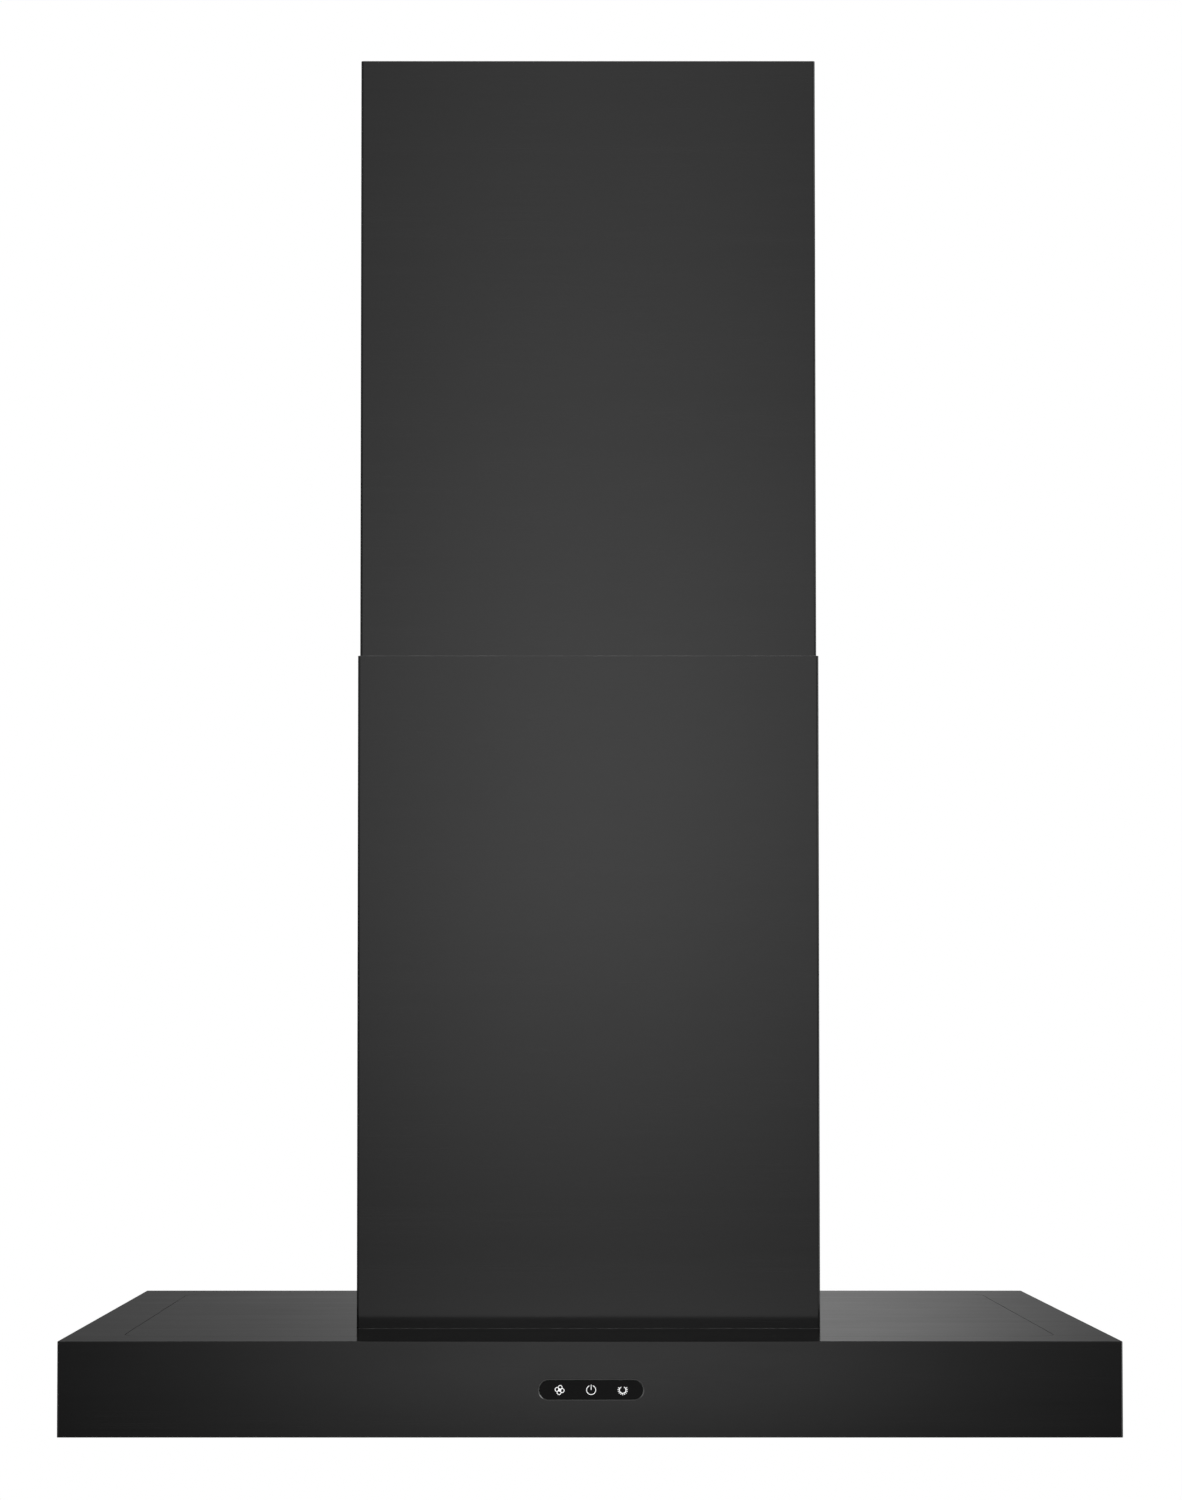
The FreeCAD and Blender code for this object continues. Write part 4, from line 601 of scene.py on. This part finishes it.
BRUSHED_METALS = {
    # slot: (name, dark tone, light tone, roughness, lines, stretch, tone of a worn edge)
    "bare_steel": ("brushed stainless", 0.44, 0.66, 0.30, 1900.0, 10.0, 0.85),
    "liner_steel": ("satin liner", 0.40, 0.54, 0.40, 900.0, 30.0, 0.7),
    "wheel_metal": ("pressed aluminium", 0.52, 0.68, 0.34, 500.0, 120.0, 0.85),
    "shaft_steel": ("ground steel", 0.50, 0.64, 0.16, 4000.0, 40.0, 0.85),
    "spring_steel": ("spring steel", 0.34, 0.52, 0.24, 2600.0, 900.0, 0.85),
    "lamp_trim": ("lamp trim", 0.55, 0.72, 0.20, 2600.0, 8.0, 0.85),
}
MATERIALS["galvanised"] = make_galvanised()
for slot, values in BRUSHED_METALS.items():
    MATERIALS[slot] = make_brushed_metal(*values)

# %% [markdown]
# Zinc plating is bright with a faint yellow and blue play of colour. Laminations are thin sheets stacked
# along the shaft, so their pattern is a wave along X. Cast and turned metal gets a grain instead of lines.

# %% Plated, stacked and cast metal
def make_zinc_plating():
    """Bright zinc: the marks turn its colour from blue to yellow, and fine crystals vary its gloss."""
    finish = Finish("zinc plating", Metallic=1.0, Roughness=0.24)
    crystal = finish.mask("spangle", "Crystal", Size=900.0)
    mark = finish.mask("marks", "Mark", Size=60.0)
    edge = finish.mask("edge", "Edge", Radius=0.0003)
    play = finish.stretch(mark, 0.0, 1.0, 0.4, 0.6)
    colour = finish.tones(play, (0.64, 0.66, 0.68, 1.0), (0.70, 0.67, 0.58, 1.0))
    finish.link("Base Color", finish.tones(edge, colour, 0.85))
    finish.link("Roughness", finish.stretch(crystal, 0.16, 0.32, 0.0, 1.0))
    finish.bump(crystal, 0.000008, 0.3)
    return finish.material


def make_laminations():
    """Thin sheets stacked along X: a wave drives tone, gloss and bump, with a few brown heat stains."""
    finish = Finish("laminations", Metallic=1.0, Roughness=0.5)
    sheet = add_node(finish.tree, "ShaderNodeTexWave", {"Vector": finish.place, "Scale": 320.0},
                     bands_direction="X").outputs["Fac"]
    mark = finish.mask("marks", "Mark", Size=40.0)
    colour = finish.tones(sheet, (0.10, 0.10, 0.11, 1.0), (0.27, 0.27, 0.28, 1.0))
    finish.link("Base Color", finish.tones(finish.stretch(mark, 0.0, 0.5), colour, (0.16, 0.10, 0.07, 1.0)))
    finish.link("Roughness", finish.stretch(sheet, 0.62, 0.40, 0.0, 1.0))
    finish.bump(sheet, 0.0001, 0.6)
    return finish.material


def make_cast_metal(name, dark, light, rough, grains):
    """Cast metal: a fine grain in tone and bump, and brighter edges."""
    finish = Finish(name, Metallic=1.0, Roughness=rough)
    grain = finish.mask("grain", "Grain", Grains=grains)
    mark = finish.mask("marks", "Mark", Size=25.0)
    edge = finish.mask("edge", "Edge", Radius=0.0008)
    colour = finish.tones(finish.stretch(grain, 0.0, 1.0), dark, light)
    finish.link("Base Color", finish.tones(edge, colour, 0.72))
    finish.link("Roughness", finish.stretch(mark, rough - 0.08, rough + 0.10))
    finish.bump(grain, 0.00006, 0.4)
    return finish.material


MATERIALS["zinc_fastener"] = make_zinc_plating()
MATERIALS["lamination"] = make_laminations()
CAST_METALS = {
    # slot: (name, dark tone, light tone, roughness, grains)
    "motor_metal": ("cast motor case", 0.38, 0.52, 0.46, 700.0),
    "lamp_body": ("die-cast lamp body", 0.48, 0.62, 0.40, 1100.0),
}
for slot, values in CAST_METALS.items():
    MATERIALS[slot] = make_cast_metal(*values)

# %% [markdown]
# ## Plastic, glass and boards
#
# The scrolls, the damper's flaps and the boxes are moulded plastic with a fine grain. The touch strip is
# polished black glass, so it gets almost no pattern of its own, only a few faint finger marks in its
# gloss. Its signs are a pale print, and the rim around it has a glossy black lacquer. The lamps' lenses
# are frosted.

# %% Moulded plastic
PALER_EDGE = 1.8           # a rubbed edge's tone against the plastic's light tone


def make_moulded_plastic(name, dark, light, rough, grains, depth):
    """Plastic with a mould's grain, slightly paler edges and a little dust on what faces up."""
    finish = Finish(name, Roughness=rough, IOR=1.49)
    grain = finish.mask("grain", "Grain", Grains=grains)
    mark = finish.mask("marks", "Mark", Size=18.0)
    edge = finish.mask("edge", "Edge", Radius=0.0008)
    dust = finish.mask("dust", "Dust", Amount=0.25)
    colour = finish.tones(finish.stretch(grain, 0.0, 1.0), dark, light)
    paler = tuple(min(1.0, PALER_EDGE * v) for v in light[:3]) + (1.0,)
    colour = finish.tones(finish.times(edge, 0.5), colour, paler)
    finish.link("Base Color", finish.tones(dust, colour, (0.30, 0.29, 0.27, 1.0)))
    finish.link("Roughness", finish.stretch(mark, rough - 0.06, rough + 0.10))
    finish.bump(grain, depth, 0.5)
    return finish.material


PLASTICS = {
    # slot: (name, dark colour, light colour, roughness, grains, depth of the grain in metres)
    "blower_plastic": ("black scroll plastic", (0.022, 0.023, 0.025, 1.0), (0.040, 0.041, 0.043, 1.0),
                       0.48, 800.0, 0.00006),
    "damper_plastic": ("grey flap plastic", (0.075, 0.077, 0.082, 1.0), (0.11, 0.112, 0.118, 1.0),
                       0.42, 1000.0, 0.00004),
    "box_plastic": ("white box plastic", (0.55, 0.55, 0.53, 1.0), (0.64, 0.64, 0.62, 1.0),
                    0.40, 900.0, 0.00004),
    "capacitor_shell": ("capacitor shell", (0.62, 0.62, 0.59, 1.0), (0.68, 0.68, 0.65, 1.0),
                        0.28, 1600.0, 0.00001),
}
for slot, values in PLASTICS.items():
    MATERIALS[slot] = make_moulded_plastic(*values)


# %% Glass, print and lens
def make_black_glass():
    """Polished glass printed black behind: nearly no light comes back but what its face mirrors."""
    finish = Finish("black glass", Base_Color=0.002, Roughness=0.05, IOR=1.52, Specular_IOR_Level=0.012)
    mark = finish.mask("marks", "Mark", Size=55.0)
    edge = finish.mask("edge", "Edge", Radius=0.0004)
    finish.link("Roughness", finish.stretch(mark, 0.03, 0.10, 0.35, 0.65))
    finish.link("Base Color", finish.tones(edge, 0.004, 0.02))
    return finish.material


def make_rim_lacquer():
    """Black lacquer: a dark dull base under a full glossy coat."""
    finish = Finish("rim lacquer", Roughness=0.30, Specular_IOR_Level=0.05, Coat_Weight=1.0,
                    Coat_Roughness=0.06)
    mark = finish.mask("marks", "Mark", Size=60.0)
    finish.link("Base Color", finish.tones(mark, 0.002, 0.006))
    finish.link("Roughness", finish.stretch(mark, 0.26, 0.40, 0.3, 0.7))
    return finish.material


def make_icon_print():
    """Pale print, lit a little from behind, with a fine speckle."""
    finish = Finish("pale print", Roughness=0.45, Emission_Color=0.8, Emission_Strength=0.12)
    speck = noise(finish.tree, finish.place, 6000.0, 2.0)
    finish.link("Base Color", finish.tones(finish.stretch(speck, 0.0, 1.0), 0.62, 0.78))
    finish.bump(speck, 0.00001, 0.3)
    return finish.material


def make_frosted_lens():
    """Frosted glass: light passes it scattered, and its grain varies how much."""
    finish = Finish("frosted lens", Base_Color=0.9, Roughness=0.45, IOR=1.49, Transmission_Weight=0.75)
    grain = finish.mask("grain", "Grain", Grains=1500.0)
    mark = finish.mask("marks", "Mark", Size=70.0)
    finish.link("Base Color", finish.tones(finish.stretch(mark, 0.0, 1.0), 0.84, 0.92))
    finish.link("Roughness", finish.stretch(grain, 0.36, 0.55, 0.1, 0.6))
    finish.bump(grain, 0.00005, 0.4)
    return finish.material


MATERIALS["black_glass"] = make_black_glass()
MATERIALS["icon_print"] = make_icon_print()
MATERIALS["lamp_lens"] = make_frosted_lens()

# %% [markdown]
# A circuit board is green lacquer over copper tracks. The tracks run square to the board's edges with a
# few gaps, so two brick patterns, one for each direction, stand in for them.

# %% Circuit board
TRACK_SCALES = (260.0, 190.0)


def make_circuit_board():
    """Green lacquer, paler and glossier over the raised tracks, which are the joints of two brick walls."""
    finish = Finish("circuit board", Roughness=0.32, IOR=1.5, Coat_Weight=0.4, Coat_Roughness=0.12)
    turned = add_node(finish.tree, "ShaderNodeVectorRotate", {"Vector": finish.place, "Angle": math.pi / 2},
                      rotation_type="X_AXIS").outputs[0]
    tracks = []
    for vector, scale in zip((finish.place, turned), TRACK_SCALES):
        brick = add_node(finish.tree, "ShaderNodeTexBrick", {
            "Vector": vector, "Scale": scale, "Mortar Size": 0.16, "Mortar Smooth": 0.1, "Brick Width": 2.6,
            "Row Height": 0.7, "Color1": grey(0.0), "Color2": grey(0.0), "Mortar": grey(1.0)})
        tracks.append(brick.outputs["Fac"])
    track = maths(finish.tree, "MAXIMUM", *tracks)
    mark = finish.mask("marks", "Mark", Size=90.0)
    colour = finish.tones(finish.times(track, 0.6), (0.012, 0.085, 0.035, 1.0), (0.05, 0.17, 0.07, 1.0))
    finish.link("Base Color", finish.tones(finish.stretch(mark, 0.0, 0.3), colour, (0.03, 0.05, 0.03, 1.0)))
    finish.link("Roughness", finish.stretch(track, 0.34, 0.24, 0.0, 1.0))
    finish.bump(track, 0.00004, 0.6)
    return finish.material


MATERIALS["circuit_board"] = make_circuit_board()
print("finishes:", len(MATERIALS))

# %% [markdown]
# ## Paint the CAD nodes
#
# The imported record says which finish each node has. A node keeps its mesh and its place, and only its
# material changes.

# %% Give every CAD node its finish
def paint(piece, slot):
    """The finish of a slot, as the piece's only material."""
    piece.data.materials.clear()
    piece.data.materials.append(MATERIALS[slot])
    return piece


for part in frame["record"]["subparts"]:
    paint(nodes[part["node"]], part["material_slot"])
print("painted nodes:", len(nodes))

# %% [markdown]
# ## The latch springs
#
# Each filter's latch is pushed home by a small coil spring. In the CAD model it is a plain even coil. A
# real one has closed ends, ground flat, and gets shorter as the latch is pulled. A tube along a helix gives
# the shape, with a pitch that falls to one wire's thickness at both ends.

# %% A compression spring
SPRING_TURNS = 8.5
SPRING_CLOSED_TURNS = 1.25
STEPS_PER_TURN = 28
WIRE_RADIUS = 0.00035
WIRE_SIDES = 10


def spring_surface(low, high, wire_radius):
    """A round wire's surface carried along a helix in the box from low to high, whose axis is Y. The
    helix has the coil radius all the way; its advance per turn is one wire at the ends and even between.
    Point = axis + coil radius * outwards + wire radius * (cos v * outwards + sin v * side)."""
    centre_x, centre_z = (low.x + high.x) / 2, (low.z + high.z) / 2
    coil_radius = (high.x - low.x) / 2 - wire_radius
    turn = np.linspace(0, SPRING_TURNS, int(SPRING_TURNS * STEPS_PER_TURN) + 1)
    inside = np.clip(np.minimum(turn, SPRING_TURNS - turn) / SPRING_CLOSED_TURNS, 0, 1)
    free = high.y - low.y - 2 * wire_radius
    closed = 2 * wire_radius
    open_share = inside ** 2 * (3 - 2 * inside)
    rate = closed + open_share * (free / SPRING_TURNS - closed) / open_share.mean()
    advance = np.concatenate([[0.0], np.cumsum((rate[1:] + rate[:-1]) / 2 * np.diff(turn))])
    y = low.y + wire_radius + advance * free / advance[-1]
    around = 2 * np.pi * turn
    outwards = np.stack([np.cos(around), np.zeros_like(around), np.sin(around)], axis=-1)
    axis = np.stack([np.full_like(y, centre_x), y, np.full_like(y, centre_z)], axis=-1)
    centre = axis + coil_radius * outwards
    along = np.gradient(centre, axis=0)
    along /= np.linalg.norm(along, axis=-1, keepdims=True)
    side = np.cross(along, outwards)
    v = np.linspace(0, 2 * np.pi, WIRE_SIDES + 1)[:-1]
    ring = np.cos(v)[None, :, None] * outwards[:, None] + np.sin(v)[None, :, None] * side[:, None]
    return centre[:, None] + wire_radius * ring


for number in (1, 2, 3):
    low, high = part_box(f"latch_spring_{number}")
    surface = spring_surface(low, high, WIRE_RADIUS)
    spring = grid_mesh(f"coil_spring_{number}", surface, close_columns=True, caps=True)
    paint(spring, "spring_steel")
    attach(spring, f"filter_{number}")
    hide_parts(f"latch_spring_{number}")
    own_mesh(spring)
print("springs: turns", SPRING_TURNS, "length, mm:", round((high.y - low.y) * 1000, 2))

# %% [markdown]
# ## The rim of the touch strip's cut-out
#
# The glass sits in a raised rim, pressed up out of the front wall, that slopes down towards the glass and
# is lacquered black. It shows only where its slope faces a lamp, as a short bright crescent at one end. It
# is a small profile of five points carried along a capsule: two straight runs and two half circles.

# %% A sloping rim around the glass
RIM_GAP = 0.00030                         # from the glass to the rim's inner edge
RIM_WIDTH = 0.00090                       # of the slope, up to the crest
RIM_HEIGHT = 0.00041                      # of the crest above the wall
RIM_BACK = 0.00015                        # width of the flank behind the crest
RIM_OUT = (0.0, 0.0, 0.5, 1.0, 1.0)       # the profile's points, in widths from the inner edge
RIM_RISE = (0.0, 0.1, 0.55, 1.0, 0.0)     # and in heights above the wall
RIM_STEPS = 48                            # points on each half circle


def capsule_path(half_length, radius):
    """Points and outward normals around a capsule in the XZ plane: half circles at both ends."""
    turn = np.linspace(-np.pi / 2, np.pi / 2, RIM_STEPS)
    right = np.stack([np.cos(turn), np.sin(turn)], axis=-1)
    normals = np.concatenate([right, -right])
    middles = np.repeat([[half_length - radius, 0.0], [radius - half_length, 0.0]], RIM_STEPS, axis=0)
    return middles + radius * normals, normals


def rim_surface(low, high, face_y):
    """The rim's closed profile carried along the capsule. Point = path + out * outwards, raised forwards.
    From the glass outwards the profile starts on the wall with a small step, climbs in a nearly straight
    slope to the crest and drops back to the wall in a short steep flank."""
    path, normals = capsule_path((high.x - low.x) / 2, (high.z - low.z) / 2)
    out = RIM_GAP + np.array(RIM_OUT) * RIM_WIDTH
    out[-1] += RIM_BACK
    rise = RIM_HEIGHT * np.array(RIM_RISE)
    flat = path[:, None] + normals[:, None] * out[None, :, None]
    centre_x, centre_z = (low.x + high.x) / 2, (low.z + high.z) / 2
    y = np.broadcast_to(face_y - rise, flat.shape[:2])
    return np.stack([centre_x + flat[..., 0], y, centre_z + flat[..., 1]], axis=-1)


glass_low, glass_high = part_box("control_glass")
front_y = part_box("canopy_shell")[0].y
rim_points = rim_surface(glass_low, glass_high, front_y)
rim = grid_mesh("control_rim", rim_points, close_rows=True, close_columns=True)
rim.data.polygons.foreach_set("use_smooth", np.zeros(len(rim.data.polygons), bool))
rim.data.materials.append(make_rim_lacquer())
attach(rim, "canopy")
print("rim, mm:", [round(v * 1000, 2) for v in rim.dimensions])

# %% Print the two boxes
boxes = {"cad": [list(cad_low), list(cad_high)], "visual": [list(corner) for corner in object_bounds()]}
for label, (low, high) in boxes.items():
    print(label, "box, metres:", [round(b - a, 4) for a, b in zip(low, high)])
